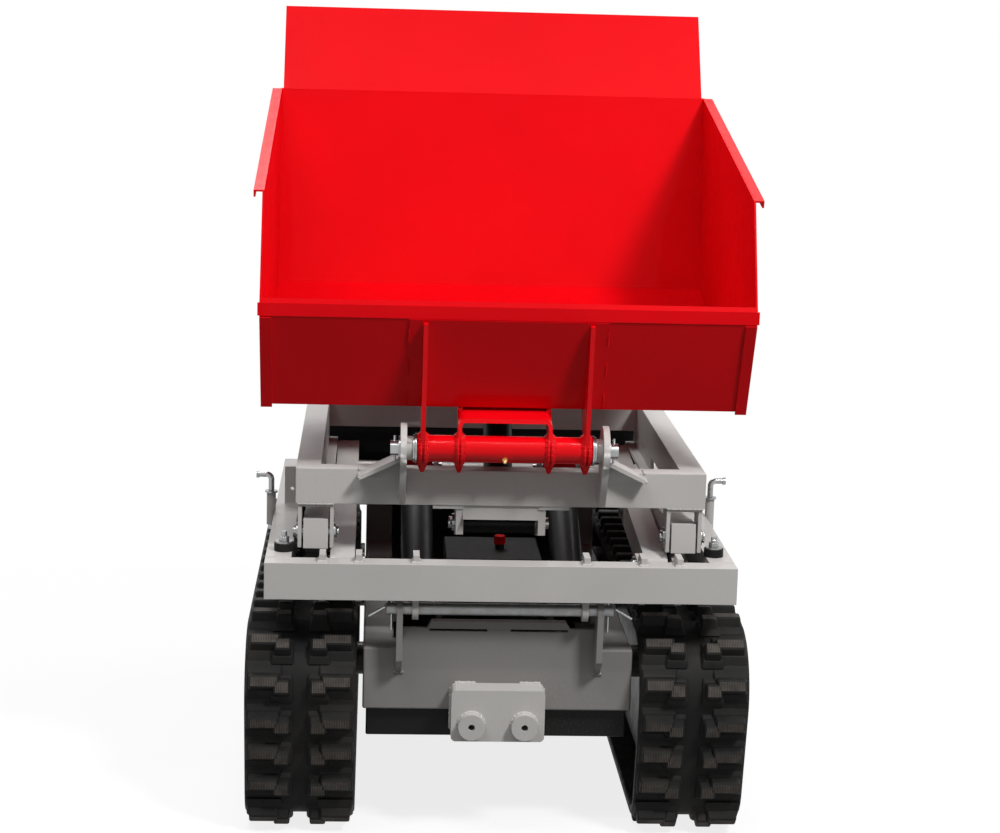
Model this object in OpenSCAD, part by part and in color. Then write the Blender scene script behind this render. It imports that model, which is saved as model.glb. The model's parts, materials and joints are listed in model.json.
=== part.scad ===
// Tracked power carrier: a forward-tipping skip on a scissor lift, carried between two rubber tracks.
// +Z is up, the skip's pouring lip faces -Y, and the origin is on the ground under the middle.
// It is drawn as it stands in use: lift lowered, skip tipped part of the way.

/* [Tracks] */
// Distance between the centre lines of the two tracks
track_gauge = 640; // [630:5:700]
// Width of each rubber track
track_w = 180; // [164:2:190]
// Thickness of the belt between its lugs
belt_t = 16; // [12:1:20]
// Height of a tread lug above the belt
lug_h = 20; // [14:1:24]
// Number of rows of tread lugs on each track
lug_rows = 42; // [36:1:44]
// Height of a guide lug inside the belt
guide_h = 18; // [12:1:20]
// How far along the belt the first row of lugs lies
lug_start = 48; // [0:1:57]

/* [Running gear] */
// Radius of the idler and of the drive wheel, where the belt wraps them
idler_r = 92; // [84:1:98]
// Radius of a bottom roller
roller_r = 42; // [38:1:46]
// Height of the idler and drive wheel axles
wheel_z = 237; // [228:1:246]
// Distance from the idler axle to the drive wheel axle
wheel_base = 784; // [740:4:820]
// How far the end rollers stand out past the idler and drive wheel axles
roller_out = 20; // [0:1:30]
// Width of a wheel's rim
wheel_w = 36; // [28:1:38]
// Radius of the roller axle bolts
axle_r = 10; // [8:0.5:12]
// Thickness of the track frame's side plates
track_plate_t = 8; // [6:1:10]
// Teeth on a drive wheel
drive_teeth = 10; // [8:1:12]

/* [Chassis] */
// Width of the chassis between the tracks
chassis_w = 440; // [420:4:448]
// Height of the chassis underside
chassis_z = 212; // [204:1:220]
// Depth of the chassis beams
chassis_h = 104; // [96:1:108]
// Where the chassis front beam stands behind the front of the tracks
chassis_front = 60; // [56:1:70]
// Depth of the belly pan below the chassis
pan_h = 49; // [30:1:56]
// Distance between the two hitch bosses
hitch_spacing = 86; // [80:1:96]
// Radius of the hole in a hitch boss
hitch_hole_r = 5.5; // [4:0.5:8]
// Radius of the shaft that carries the front of the lift base
shaft_r = 10; // [8:0.5:12]

/* [Lift] */
// Height of the underside of the base frame
base_z = 408; // [404:1:420]
// Length of the base frame's cross beams
base_w = 758; // [750:2:780]
// Depth of the base frame's beams
base_h = 60; // [56:1:64]
// Width of the base frame's side rails
rail_w = 41; // [36:1:44]
// Length of a scissor arm from pin to roller
arm_len = 640; // [600:5:660]
// Height of a scissor arm's section
arm_h = 48; // [42:1:48]
// Width of a scissor arm's section
arm_w = 40; // [36:1:40]
// Height of the upper arm pin over the lower one when lowered
arm_rise = 50; // [48:1:56]
// Overall width of the upper frame
upper_w = 666; // [660:2:670]
// Depth of the upper frame's beams
upper_h = 58; // [54:1:62]
// Radius of the scissor rollers
lift_roller_r = 20; // [18:0.5:22]
// Radius of the lift cylinders' barrels
lift_barrel_r = 28; // [24:1:30]

/* [Skip] */
// Height of the skip's pivot above the upper frame
pivot_up = 44.5; // [40:0.5:50]
// How far the skip is tipped as drawn
tip_rest = 12; // [8:0.5:16]
// Width of the skip between its side walls' outer faces
skip_w = 778; // [740:2:800]
// Length of the skip's floor
floor_len = 584; // [540:4:620]
// Height of the side walls over the floor
side_h = 332; // [290:2:350]
// Height of the pouring lip over the floor
lip_h = 182; // [166:1:206]
// Lean of the back wall from upright
back_lean = 20; // [14:1:24]
// Length of the spill plate above the back wall
spill_len = 174; // [140:2:190]
// Thickness of the skip's sheet steel
sheet_t = 3; // [2.5:0.5:5]
// Radius of the tip cylinder's barrel
tip_barrel_r = 24; // [20:1:26]

/* [Engine and controls] */
// Height of the handlebar grips
grip_z = 960; // [920:5:1000]
// Length of a grip
grip_len = 120; // [100:5:130]
// Distance between the two grips
grip_span = 420; // [380:5:440]
// Travel of a control lever's knob above its pivot
lever_len = 140; // [110:5:160]

/* [Clearances] */
// Gap between a shaft and the bore that turns on it
run_gap = 0.05; // [0.03:0.01:0.09]
// Gap between parts that move past each other
move_gap = 0.3; // [0.2:0.05:0.5]

/* [Hidden] */
$fn = 64;

red = "#d01515";
grey = "#98918f";
black = "#1c1c1c";
zinc = "#b9bcbf";
rubber = "#232323";

// Track loop: wheel centres and radii, going round from the idler over the top
track_x = track_gauge / 2;
tread_r = belt_t + lug_h;
idler_y = idler_r + tread_r;
drive_y = idler_y + wheel_base;
roller_z = roller_r + tread_r;
first_roller_y = idler_y - roller_out;
last_roller_y = drive_y + roller_out;
roller_count = 3;
roller_step = (last_roller_y - first_roller_y) / (roller_count - 1);
loop = [[idler_y, wheel_z, idler_r], [drive_y, wheel_z, idler_r],
        [last_roller_y, roller_z, roller_r], [first_roller_y, roller_z, roller_r]];
// Depth by which the straight runs of the belt start inside the circles round its wheels
run_inset = 0.02;
lug_edge = 11;
lug_bar = 43;
block_in = 18;
block_lap = 7;
block_skew = 13;
guide_in = wheel_w / 2 + 3;
guide_w = 20;
plate_in = guide_in + guide_w + 5;
plate_out = plate_in + track_plate_t;
hub_half = plate_in - 0.5;
plate_low = belt_t + lug_h + guide_h + 4;
boss_r = 34;
idler_axle_r = axle_r + 2.5;
motor_shaft_r = 15;
motor_flange_t = 8;
track_beam_front = idler_y + idler_r + 20;
track_beam_rear = drive_y - idler_r - 20;

// Chassis
chassis_half = chassis_w / 2;
chassis_top = chassis_z + chassis_h;
chassis_rear = drive_y + 88;
chassis_rail_w = 50;
chassis_beam_t = 60;
beam_t = 38;
post_lap = 4;
stub_r = 28;
stub_z = chassis_z + 14;
shaft_y = 40;
shaft_z = base_z - 20;
clip_r = 2;
shaft_end = 16;
gusset_x = 157;
gusset_t = 10;
gusset_r = base_z - shaft_z - 1;
gusset_low = chassis_z + 63;
web_t = 8;
web_top = chassis_top + 34;
slot_in = 19;
slot_out = 113;
slot_h = 5;
bar_half = 117;
bar_h = 12;
bar_bevel = 8;
pan_t = 4;
pan_half = chassis_half - 6;
hitch_half = 76;
hitch_depth = 42;
boss_out_r = 21.5;
boss_len = 15;

// Lift base frame
base_half = base_w / 2;
base_top = base_z + base_h;
base_front = 11;
beam_gap = 4;
arm_y = 115;
foot_z = base_z + 37;
clevis_z = foot_z + arm_rise;
arm_angle = asin(arm_rise / arm_len);
arm_end = [arm_y + arm_len * cos(arm_angle), foot_z + arm_rise];
base_rear = arm_end[0] + arm_h / 2 + beam_gap + beam_t;
upper_half = upper_w / 2;
clevis_t = 6;
clevis_gap = 3;
clevis_inset = 4;
arm_gap = 4;
roller_room = 18;
outer_arm_x = upper_half - clevis_inset - clevis_t - clevis_gap - arm_w / 2;
inner_arm_x = outer_arm_x - arm_w - arm_gap;
rail_in = outer_arm_x + arm_w / 2 + roller_room;
rail_out = rail_in + rail_w;
arm_pin_r = 10;
centre_pin_r = 12;
roller_pin_r = 8;
roller_travel = arm_len * (cos(arm_angle) - cos(50)) + lift_roller_r + 6;
runner_t = 6;
lug_t = 10;
tab_reach = 28;
tab_h = 12;
tie_y = 135;
tie_t = 34;
tie_h = 33;
lift_x = 130;
lift_lug = lift_barrel_r + 3;
lift_base = [200, base_z - 68];
lift_eye = [560, foot_z + 65];
lift_pin_r = 10;
lift_slack = 8.2;
lift_rod_r = 14;
buffer_x = rail_out - 28;
buffer_y = 95;
buffer_r = 16;
buffer_h = 13;
stay_y = 436;
stay_w = 26;
stay_h = 66;
stay_hole = 26;
lock_y = 380;
lock_r = 5;
lock_tube_r = 8;
lock_bend = 9;
lock_x = rail_out + lock_tube_r - 2;
lock_tube_z = base_z + 35;
lock_tube_h = 57;
lock_rise = 23;
lock_collar_r = 11;

// Upper frame
upper_z = clevis_z + 53;
upper_top = upper_z + upper_h;
upper_front = 88;
upper_beam_t = 36;
upper_rail_w = 40;
upper_rear = arm_end[0] + 30;
clevis_half_y = 24;
runner_x = inner_arm_x + arm_w / 2 + 1;

// Skip and its hinge
pivot = [46, upper_top + pivot_up];
tube_r = 21.5;
tube_half = 139;
rib_x = 127;
rib_t = 7;
rib_tip = 19;
rib_depth = 10;
strap_x = 75;
strap_t = 6;
strap_bend = 12;
skip_pin_r = 12;
ear_x = 156;
ear_t = 10;
ear_r = 40;
ear_low = upper_z + 8;
skip_half = skip_w / 2;
floor_front = 35;
floor_up = 57.5;
bridge_up = floor_up - 5;
floor_rear = floor_front + floor_len;
rim_up = floor_up + side_h;
rim_rear = floor_rear + side_h * tan(back_lean);
rim_front = 106;
band_h = 20;
band_lap = 3;
lip = [4, floor_up + lip_h];
lip_fold = [0, lip[1] - band_h];
rib_top = lip_fold[1] - 6;
spill_lean = 43;
rim_w = 14;
rim_drop = 12;
flange_w = 18;
flange_drop = 4;
flange_gap = 2;
tip_lug_x = 26;
tip_eye = [294, 22];
tip_base = [160, upper_z - 45];
tip_pin_r = 10;
tip_slack = 8;
tip_rod_r = 12;
tip_plate_x = 61;
tip_plate_t = 12;
tip_flange = 50;

// Engine, deck and controls
deck_t = 8;
deck_half = chassis_half - 4;
deck_front = base_rear + 12;
deck_rear = chassis_rear + 150;
deck_top = chassis_top + deck_t;
guard_t = 4;
guard_half = upper_half - 6;
guard_low = wheel_z + idler_r + tread_r + 12;
guard_top = upper_top - 10;
guard_fold = 16;
case_half = 100;
case_depth = 200;
engine_gap = 14.5;
engine_y = deck_front + engine_gap + case_depth / 2;
case_h = 180;
fin_half = 68;
handle_r = 14;
handle_x = grip_span / 2;
foot_half = 24;
handle_foot = deck_rear - foot_half;
handle_knee = [deck_rear + 40, grip_z - 160];
handle_bend = [deck_rear + 190, grip_z];
grip_r = 17;
grip_start = handle_bend[0] + 110;
rear_end = grip_start + grip_len;
console_y = handle_knee[0];
console_z = handle_knee[1] + handle_r;
console_h = 62;
console_d = 96;
console_half = handle_x - handle_r - 10;
lever_y = console_y;
lever_z = console_z + console_h + 14;
lever_edge = 56;
lever_step = 60;
lever_out = console_half - lever_edge;
lever_in = lever_out - lever_step;
lever_xs = [-lever_out, -lever_in, lever_in, lever_out, 0];
knob_r = 15;
lever_pin_r = 5;
bracket_x = 14;

// Front of the tipped skip's ribs, and the middle of the whole length
front_end = pivot[0] + rotated([front_wall_y(rib_top) - rib_depth, rib_top], tip_rest)[0];
middle = (front_end + rear_end) / 2;

// Tangent run from wheel i to the next one: the angle of its outward normal
function next(i) = (i + 1) % len(loop);
function gap(i) = [loop[next(i)][0] - loop[i][0], loop[next(i)][1] - loop[i][1]];
function normal(i) =
  atan2(gap(i)[1], gap(i)[0]) + acos((loop[i][2] - loop[next(i)][2]) / norm(gap(i)));
function run_len(i) = sqrt(pow(norm(gap(i)), 2) - pow(loop[i][2] - loop[next(i)][2], 2));
function wrap(i) = (normal((i + 3) % 4) - normal(i) + 720) % 360;
function on_wheel(i, t, a) =
  [loop[i][0] + (loop[i][2] + t) * cos(a), loop[i][1] + (loop[i][2] + t) * sin(a)];
// The loop's eight pieces, arc then straight for each wheel, measured at mid belt
function arc_r(i) = loop[i][2] + belt_t / 2;
function piece_len(k) = k % 2 == 0 ? wrap(k / 2) * PI / 180 * arc_r(k / 2) : run_len((k - 1) / 2);
function piece_start(k) = k == 0 ? 0 : piece_start(k - 1) + piece_len(k - 1);
function piece_at(s, k = 0) = k == 7 || s < piece_start(k + 1) ? k : piece_at(s, k + 1);
loop_len = piece_start(8);
lug_pitch = loop_len / lug_rows;

function rotated(p, a) = [p[0] * cos(a) - p[1] * sin(a), p[0] * sin(a) + p[1] * cos(a)];

// Extrudes a shape drawn in the Y-Z plane from x0 to x1
module along_x(x0, x1) {
  translate([x0, 0, 0]) rotate([90, 0, 90]) linear_extrude(x1 - x0) children();
}

// A round bar along X through the point p of the Y-Z plane
module bar_x(r, x0, x1, p, sides = $fn) {
  translate([x0, p[0], p[1]]) rotate([0, 90, 0]) cylinder(r = r, h = x1 - x0, $fn = sides);
}

// A box between two limits on each axis
module block(x, y, z) {
  translate([x[0], y[0], z[0]]) cube([x[1] - x[0], y[1] - y[0], z[1] - z[0]]);
}

// A round bar from point a to point b
module strut(r, a, b) {
  d = b - a;
  translate(a) rotate([0, acos(d[2] / norm(d)), atan2(d[1], d[0])]) cylinder(r = r, h = norm(d));
}

// A round tube through a list of points, with slightly swollen ball corners
module bent_bar(r, points) {
  for (i = [1:len(points) - 1]) strut(r, points[i - 1], points[i]);
  for (i = [1:len(points) - 2]) translate(points[i]) sphere(r * 1.04);
}

module both_sides() {
  children();
  mirror([1, 0, 0]) children();
}

// Builds a right-hand piece as drawn and a left-hand piece as its mirror image
module on_side(side) {
  mirror([side < 0 ? 1 : 0, 0, 0]) children();
}

// Puts a piece at a point along the belt, its Y along the belt and its Z outward
module on_belt(s) {
  k = piece_at(s);
  i = floor(k / 2);
  u = s - piece_start(k);
  turned = k % 2 == 0 ? u / arc_r(i) * 180 / PI : wrap(i);
  a = normal((i + 3) % 4) - turned;
  p = on_wheel(i, belt_t / 2, a) + (k % 2 == 0 ? [0, 0] : u * [sin(a), -cos(a)]);
  translate([0, p[0], p[1]]) rotate([a - 90, 0, 0]) children();
}

module belt_outline(t) {
  for (w = loop) translate([w[0], w[1]]) circle(w[2] + t);
  polygon([for (i = [0:3])
           each [on_wheel(i, t - run_inset, normal(i)), on_wheel(next(i), t - run_inset, normal(i))]]);
}

// A tapered bar across the belt from x0 to x1, standing h out of the belt's face
module lug(x0, x1, base, tip, h, face, offset) {
  sink = 3;
  outline = [[-base / 2, -sink], [base / 2, -sink], [tip / 2, h], [-tip / 2, h]];
  translate([0, offset, 0]) along_x(x0, x1) translate([0, face]) polygon(outline);
}

// One row of tread: a long bar at each edge and a skewed block beside the plain middle band
module tread_row() {
  bar_out = track_w / 2 - lug_edge;
  bar_in = bar_out - lug_bar;
  both_sides() {
    lug(bar_in, bar_out, 30, 16, lug_h, belt_t / 2, 0);
    lug(block_in, bar_in + block_lap, 34, 18, lug_h, belt_t / 2, -block_skew);
  }
}

module guide_row() {
  both_sides() mirror([0, 0, 1]) lug(guide_in, guide_in + guide_w, 30, 16, guide_h, belt_t / 2, 0);
}

module track() {
  color(rubber) translate([track_x, 0, 0]) {
    along_x(-track_w / 2, track_w / 2) difference() {
      belt_outline(belt_t);
      belt_outline(0);
    }
    for (i = [0:lug_rows - 1]) on_belt((lug_start + i * lug_pitch) % loop_len) {
      tread_row();
      guide_row();
    }
  }
}

function roller_y(i) = first_roller_y + i * roller_step;

module track_plate() {
  difference() {
    union() {
      translate([idler_y, wheel_z]) circle(boss_r);
      translate([drive_y, wheel_z]) circle(boss_r * 1.6);
      polygon([[idler_y, wheel_z - boss_r], [idler_y, wheel_z + boss_r],
               [drive_y, wheel_z + boss_r], [drive_y, wheel_z - boss_r],
               [last_roller_y + 24, roller_z + 40], [last_roller_y + 24, plate_low],
               [first_roller_y - 24, plate_low], [first_roller_y - 24, roller_z + 40]]);
    }
    translate([idler_y, wheel_z]) circle(idler_axle_r);
    translate([drive_y, wheel_z]) circle(motor_shaft_r + 2);
    for (i = [0:roller_count - 1]) translate([roller_y(i), roller_z]) circle(axle_r);
  }
}

module track_frame() {
  color(grey) {
    along_x(track_x - plate_out, track_x - plate_in) track_plate();
    along_x(track_x + plate_in, track_x + plate_out) track_plate();
    block([track_x - plate_in - 1, track_x + plate_in + 1], [track_beam_front, track_beam_rear],
          [roller_z + roller_r + 24, wheel_z + 6]);
  }
}

// A through bolt with a hex head on the inner side and a nut on the outer side
module axle_bolt(r, p) {
  head = 12;
  x0 = track_x - plate_out;
  x1 = track_x + plate_out;
  bar_x(r, x0, x1, p);
  bar_x(r * 1.7, x0 - head, x0, p, 6);
  bar_x(r * 1.7, x1, x1 + head, p, 6);
}

module axle_bolts() {
  color(zinc) both_sides() {
    axle_bolt(idler_axle_r, [idler_y, wheel_z]);
    for (i = [0:roller_count - 1]) axle_bolt(axle_r, [roller_y(i), roller_z]);
  }
}

// A wheel turned about X: rim, dished sides and a bored hub
module wheel(p, r, hub_r, bore_r, dish) {
  half = wheel_w / 2;
  translate([track_x, p[0], p[1]]) rotate([0, 90, 0]) difference() {
    union() {
      translate([0, 0, -half]) cylinder(r = r - move_gap, h = wheel_w);
      translate([0, 0, -hub_half]) cylinder(r = hub_r, h = 2 * hub_half);
    }
    for (side = [0, 1]) mirror([0, 0, side]) translate([0, 0, half - dish]) difference() {
      cylinder(r = r - 10, h = dish + 1);
      translate([0, 0, -1]) cylinder(r = hub_r, h = dish + 3);
    }
    translate([0, 0, -hub_half - 1]) cylinder(r = bore_r, h = 2 * hub_half + 2);
  }
}

module idler() {
  color(black) difference() {
    wheel([idler_y, wheel_z], idler_r, 30, idler_axle_r + run_gap, 9);
    for (a = [0:60:300]) {
      p = [idler_y, wheel_z] + rotated([56, 0], a);
      bar_x(11, track_x - wheel_w, track_x + wheel_w, p);
    }
  }
}

module roller(i) {
  color(black) wheel([roller_y(i), roller_z], roller_r, 20, axle_r + run_gap, 5);
}

module sprocket() {
  root = idler_r - 13;
  tooth = root * PI / drive_teeth;
  half = 12;
  color(black) {
    along_x(track_x - half, track_x + half) translate([drive_y, wheel_z]) difference() {
      union() {
        circle(root);
        for (i = [0:drive_teeth - 1]) rotate(i * 360 / drive_teeth)
          polygon([[root - 4, -tooth * 0.52], [idler_r - 1, -tooth * 0.22],
                   [idler_r - 1, tooth * 0.22], [root - 4, tooth * 0.52]]);
      }
      for (a = [36:72:324]) rotate(a) translate([55, 0]) circle(12);
    }
    bar_x(32, track_x - hub_half, track_x + hub_half, [drive_y, wheel_z]);
    bar_x(motor_shaft_r, track_x - plate_out - 34, track_x, [drive_y, wheel_z]);
  }
}

module drive_motors() {
  face = track_x - plate_out;
  inner = chassis_half + 2;
  color(black) both_sides() difference() {
    union() {
      bar_x(boss_r * 1.5, face - motor_flange_t, face, [drive_y, wheel_z]);
      bar_x(boss_r * 1.2, inner, face, [drive_y, wheel_z]);
    }
    bar_x(motor_shaft_r + run_gap, face - 36, face + 1, [drive_y, wheel_z]);
  }
}

// Side view of the gusset that holds the front shaft
module gusset_shape() {
  difference() {
    union() {
      translate([shaft_y, shaft_z]) circle(gusset_r);
      polygon([[chassis_front, gusset_low], [shaft_y - 14, chassis_top - 14],
               [shaft_y - gusset_r, shaft_z], [shaft_y + gusset_r, shaft_z],
               [chassis_front + 44, chassis_top],
               [chassis_front + 44, gusset_low]]);
    }
    translate([shaft_y, shaft_z]) circle(shaft_r);
  }
}

module chassis_frame() {
  rail_y = chassis_front + chassis_beam_t;
  mount_x = track_x - plate_out;
  color(grey) {
    block([-chassis_half, chassis_half], [chassis_front, rail_y], [chassis_z, chassis_top]);
    block([-chassis_half, chassis_half], [chassis_rear - chassis_beam_t, chassis_rear],
          [chassis_z, chassis_top]);
    both_sides() {
      block([chassis_half - chassis_rail_w, chassis_half], [rail_y - 1, chassis_rear - chassis_beam_t + 1],
            [chassis_z, chassis_top]);
      along_x(gusset_x, gusset_x + gusset_t) gusset_shape();
      for (y = [track_beam_front + 60, track_beam_rear - 60])
        bar_x(stub_r, chassis_half - 4, mount_x, [y, stub_z]);
      block([chassis_half - chassis_rail_w, chassis_half],
            [base_rear - beam_t - post_lap, base_rear + post_lap], [chassis_top - 1, base_z - move_gap]);
    }
    // Upright web between the gussets, slotted under a flat bar with mitred ends
    translate([0, chassis_front + web_t, 0]) rotate([90, 0, 0]) linear_extrude(web_t) difference() {
      translate([-gusset_x - 1, chassis_top - 1]) square([2 * gusset_x + 2, web_top - chassis_top + 1]);
      both_sides() translate([slot_in, web_top - slot_h]) square([slot_out - slot_in, slot_h]);
    }
    translate([0, chassis_front + web_t + 6, 0]) rotate([90, 0, 0]) linear_extrude(web_t + 8)
      polygon([[-bar_half, web_top - 0.5], [bar_half, web_top - 0.5], [bar_half - bar_bevel, web_top + bar_h],
               [bar_bevel - bar_half, web_top + bar_h]]);
  }
}

// Welded box with two drilled bosses, for a tow hook or a front tool
module front_hitch() {
  y0 = chassis_front - hitch_depth;
  z0 = chassis_z - 40;
  z1 = chassis_z + 46;
  boss_z = z0 + 28;
  color(grey) difference() {
    union() {
      block([-hitch_half, hitch_half], [y0, chassis_front], [z0 + 8, z1 - 8]);
      block([-hitch_half + 8, hitch_half - 8], [y0, chassis_front], [z0, z1]);
      both_sides() for (z = [z0 + 8, z1 - 8]) translate([hitch_half - 8, y0, z])
        rotate([-90, 0, 0]) cylinder(r = 8, h = hitch_depth);
      both_sides() translate([hitch_spacing / 2, y0 - boss_len, boss_z])
        rotate([-90, 0, 0]) cylinder(r = boss_out_r, h = boss_len + 1);
    }
    both_sides() translate([hitch_spacing / 2, y0 - boss_len - 1, boss_z])
      rotate([-90, 0, 0]) cylinder(r = hitch_hole_r, h = hitch_depth - 6);
  }
}

module belly_guard() {
  z0 = chassis_z - pan_h;
  color(black) difference() {
    block([-pan_half, pan_half], [chassis_front + 14, chassis_rear - 20], [z0, chassis_z]);
    block([-pan_half + pan_t, pan_half - pan_t], [chassis_front + 14 + pan_t, chassis_rear - 20 - pan_t],
          [z0 + pan_t, chassis_z + 1]);
  }
}

module base_pivot_shaft() {
  half = gusset_x + gusset_t + shaft_end;
  color(zinc) difference() {
    bar_x(shaft_r, -half, half, [shaft_y, shaft_z]);
    both_sides() translate([half - shaft_end / 2, shaft_y, shaft_z - shaft_r - 1])
      cylinder(r = clip_r, h = 2 * shaft_r + 2);
  }
}

// Spring clip: a straight leg down through the shaft and a leg that leads outward past its end
module shaft_clips() {
  x = gusset_x + gusset_t + shaft_end / 2;
  color(zinc) both_sides()
    bent_bar(clip_r, [[x, shaft_y, shaft_z - 36], [x, shaft_y, shaft_z + 16],
                      [x + 12, shaft_y - 15, shaft_z + 6], [x + 37, shaft_y - 15, shaft_z - 9]]);
}

// Plate that wraps the front beam and holds an arm's foot pin
module foot_lug_shape() {
  back = base_front + beam_t;
  difference() {
    union() {
      polygon([[back - tab_reach, base_top - 1], [back - tab_reach, base_top + tab_h],
               [back + 10, base_top + tab_h], [back + 24, base_top - 6], [arm_y, foot_z + 20],
               [arm_y, foot_z - 20],
               [back, base_z - 8], [back - 14, base_z - 8], [back - 14, base_z + 1], [back - 1, base_z + 1],
               [back - 1, base_top - 1]]);
      translate([arm_y, foot_z]) circle(20);
    }
    translate([arm_y, foot_z]) circle(arm_pin_r);
  }
}

module shaft_lug_shape() {
  back = base_front + beam_t;
  difference() {
    union() {
      translate([shaft_y, shaft_z]) circle(18);
      polygon([[shaft_y - 18, shaft_z], [shaft_y + 18, shaft_z], [shaft_y + 18, base_z + 1],
               [shaft_y - 18, base_z + 1]]);
      polygon([[back - tab_reach, base_top - 1], [back - tab_reach, base_top + tab_h],
               [back + 10, base_top + tab_h], [back + 10, base_z], [back - 1, base_z],
               [back - 1, base_top - 1]]);
    }
    translate([shaft_y, shaft_z]) circle(shaft_r + run_gap);
  }
}

// Hanger for the lower end of a lift cylinder
module lift_hanger_shape() {
  difference() {
    union() {
      translate(lift_base) circle(20);
      polygon([[tie_y + 4, base_z - 22], [tie_y + tie_t, base_z - 22], lift_base + [15, 13],
               lift_base + [-4, -19.6], lift_base + [-18, -8]]);
    }
    translate(lift_base) circle(lift_pin_r);
  }
}

module base_frame() {
  back = base_front + beam_t;
  runner_end = base_rear - beam_t + 1;
  runner_start = arm_end[0] - roller_travel;
  color(grey) difference() {
    union() {
      block([-base_half, base_half], [base_front, back], [base_z, base_top]);
      block([-base_half, base_half], [base_rear - beam_t, base_rear], [base_z, base_top]);
      block([-rail_in - 20, rail_in + 20], [tie_y, tie_y + tie_t], [base_z - 24, base_z - 24 + tie_h]);
      both_sides() {
        block([rail_in, rail_out], [back - 1, base_rear], [base_z, base_top]);
        for (x = [inner_arm_x - arm_w / 2 - 2 - lug_t, inner_arm_x + arm_w / 2 + 6])
          along_x(x, x + lug_t) foot_lug_shape();
        along_x(132, 142) shaft_lug_shape();
        for (x = [lift_x - lift_lug - lug_t, lift_x + lift_lug])
          along_x(x, x + lug_t) lift_hanger_shape();
        for (z = [foot_z - lift_roller_r - runner_t - move_gap, foot_z + lift_roller_r + move_gap])
          block([rail_in - 16, rail_in + 1], [runner_start, runner_end], [z, z + runner_t]);
        block([rail_in, rail_in + stay_w], [stay_y, stay_y + lug_t], [base_top - 1, base_top + stay_h]);
        translate([lock_x, lock_y, lock_tube_z]) cylinder(r = lock_tube_r, h = lock_tube_h);
      }
    }
    both_sides() {
      translate([lock_x, lock_y, lock_tube_z - 1]) cylinder(r = lock_r + run_gap, h = lock_tube_h + 2);
      translate([rail_in + stay_w / 2, stay_y - 1, base_top + stay_hole]) rotate([-90, 0, 0])
        cylinder(r = 3.5, h = lug_t + 2);
    }
  }
}

module base_pins() {
  color(zinc) both_sides() {
    foot_in = inner_arm_x - arm_w / 2 - 2 - lug_t;
    foot_out = inner_arm_x + arm_w / 2 + 6 + lug_t;
    bar_x(arm_pin_r, foot_in - 6, foot_out + 3, [arm_y, foot_z]);
    bar_x(arm_pin_r + 5, foot_in - 4, foot_in, [arm_y, foot_z]);
    bar_x(lift_pin_r, lift_x - lift_lug - lug_t - 6, lift_x + lift_lug + lug_t + 6, lift_base);
  }
}

module rubber_buffers() {
  color(rubber) both_sides() translate([buffer_x, buffer_y, base_top]) difference() {
    cylinder(r = buffer_r, h = buffer_h);
    translate([0, 0, -1]) cylinder(r = 5, h = buffer_h + 2);
  }
}

module buffer_bolts() {
  color(zinc) both_sides() translate([buffer_x, buffer_y, base_top]) {
    cylinder(r = 5, h = buffer_h + 19);
    translate([0, 0, buffer_h]) cylinder(r = 14, h = 3);
    translate([0, 0, buffer_h + 3]) cylinder(r = 8.7, h = 8, $fn = 6);
  }
}

// Locking pin with a handle bent outward and an end collar
module lock_pin() {
  top = lock_tube_z + lock_tube_h + lock_rise;
  arm = 22;
  color(zinc) {
    translate([lock_x, lock_y, lock_tube_z - 8]) cylinder(r = lock_r, h = top - lock_tube_z + 8);
    translate([lock_x + lock_bend, lock_y, top]) rotate([90, 0, 0]) rotate([0, 0, 90])
      rotate_extrude(angle = 90) translate([lock_bend, 0]) circle(lock_r);
    bar_x(lock_r, lock_x + lock_bend, lock_x + arm, [lock_y, top + lock_bend]);
    bar_x(lock_r + 1.5, lock_x + arm - 1, lock_x + arm + 4, [lock_y, top + lock_bend]);
    translate([lock_x, lock_y, lock_tube_z + lock_tube_h + move_gap]) cylinder(r = lock_collar_r, h = 3);
  }
}

// Side view of a scissor arm, drawn level from its front pin to its rear pin
module arm_shape(front_round) {
  r = arm_h / 2;
  translate([arm_len, 0]) circle(r);
  if (front_round) circle(r);
  translate([front_round ? 0 : -r, -r]) square([arm_len + (front_round ? 0 : r), arm_h]);
}

module inner_arms() {
  x0 = inner_arm_x - arm_w / 2;
  x1 = inner_arm_x + arm_w / 2;
  tube_y = lift_eye[0] + 62;
  tube = [tube_y, foot_z + (tube_y - arm_y) * tan(arm_angle)];
  tube_side = rotated([0, 20], atan2(tube[1] - lift_eye[1], tube[0] - lift_eye[0]));
  color(grey) {
    both_sides() {
      translate([0, arm_y, foot_z]) rotate([arm_angle, 0, 0]) {
        along_x(x0, x1) difference() {
          arm_shape(true);
          circle(arm_pin_r + run_gap);
          translate([arm_len / 2, 0]) circle(centre_pin_r);
        }
        bar_x(roller_pin_r, x1 - 1, x1 + 17, [arm_len, 0]);
      }
      for (x = [lift_x - lift_lug - lug_t, lift_x + lift_lug]) along_x(x, x + lug_t) difference() {
        union() {
          translate(lift_eye) circle(20);
          polygon([tube + tube_side, lift_eye + tube_side, lift_eye - tube_side, tube - tube_side]);
        }
        translate(lift_eye) circle(lift_pin_r);
      }
    }
    bar_x(22, -x0 - 1, x0 + 1, tube);
  }
}

module outer_arms() {
  x0 = outer_arm_x - arm_w / 2;
  x1 = outer_arm_x + arm_w / 2;
  color(grey) translate([0, arm_y, clevis_z]) rotate([-arm_angle, 0, 0]) {
    both_sides() {
      along_x(x0, x1) difference() {
        arm_shape(false);
        circle(arm_pin_r + run_gap);
        translate([arm_len / 2, 0]) circle(centre_pin_r + run_gap);
      }
      bar_x(roller_pin_r, x1 - 1, x1 + 16, [arm_len, 0]);
    }
    bar_x(13, -x0 - 1, x0 + 1, [arm_len - 36, -2]);
  }
}

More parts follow.
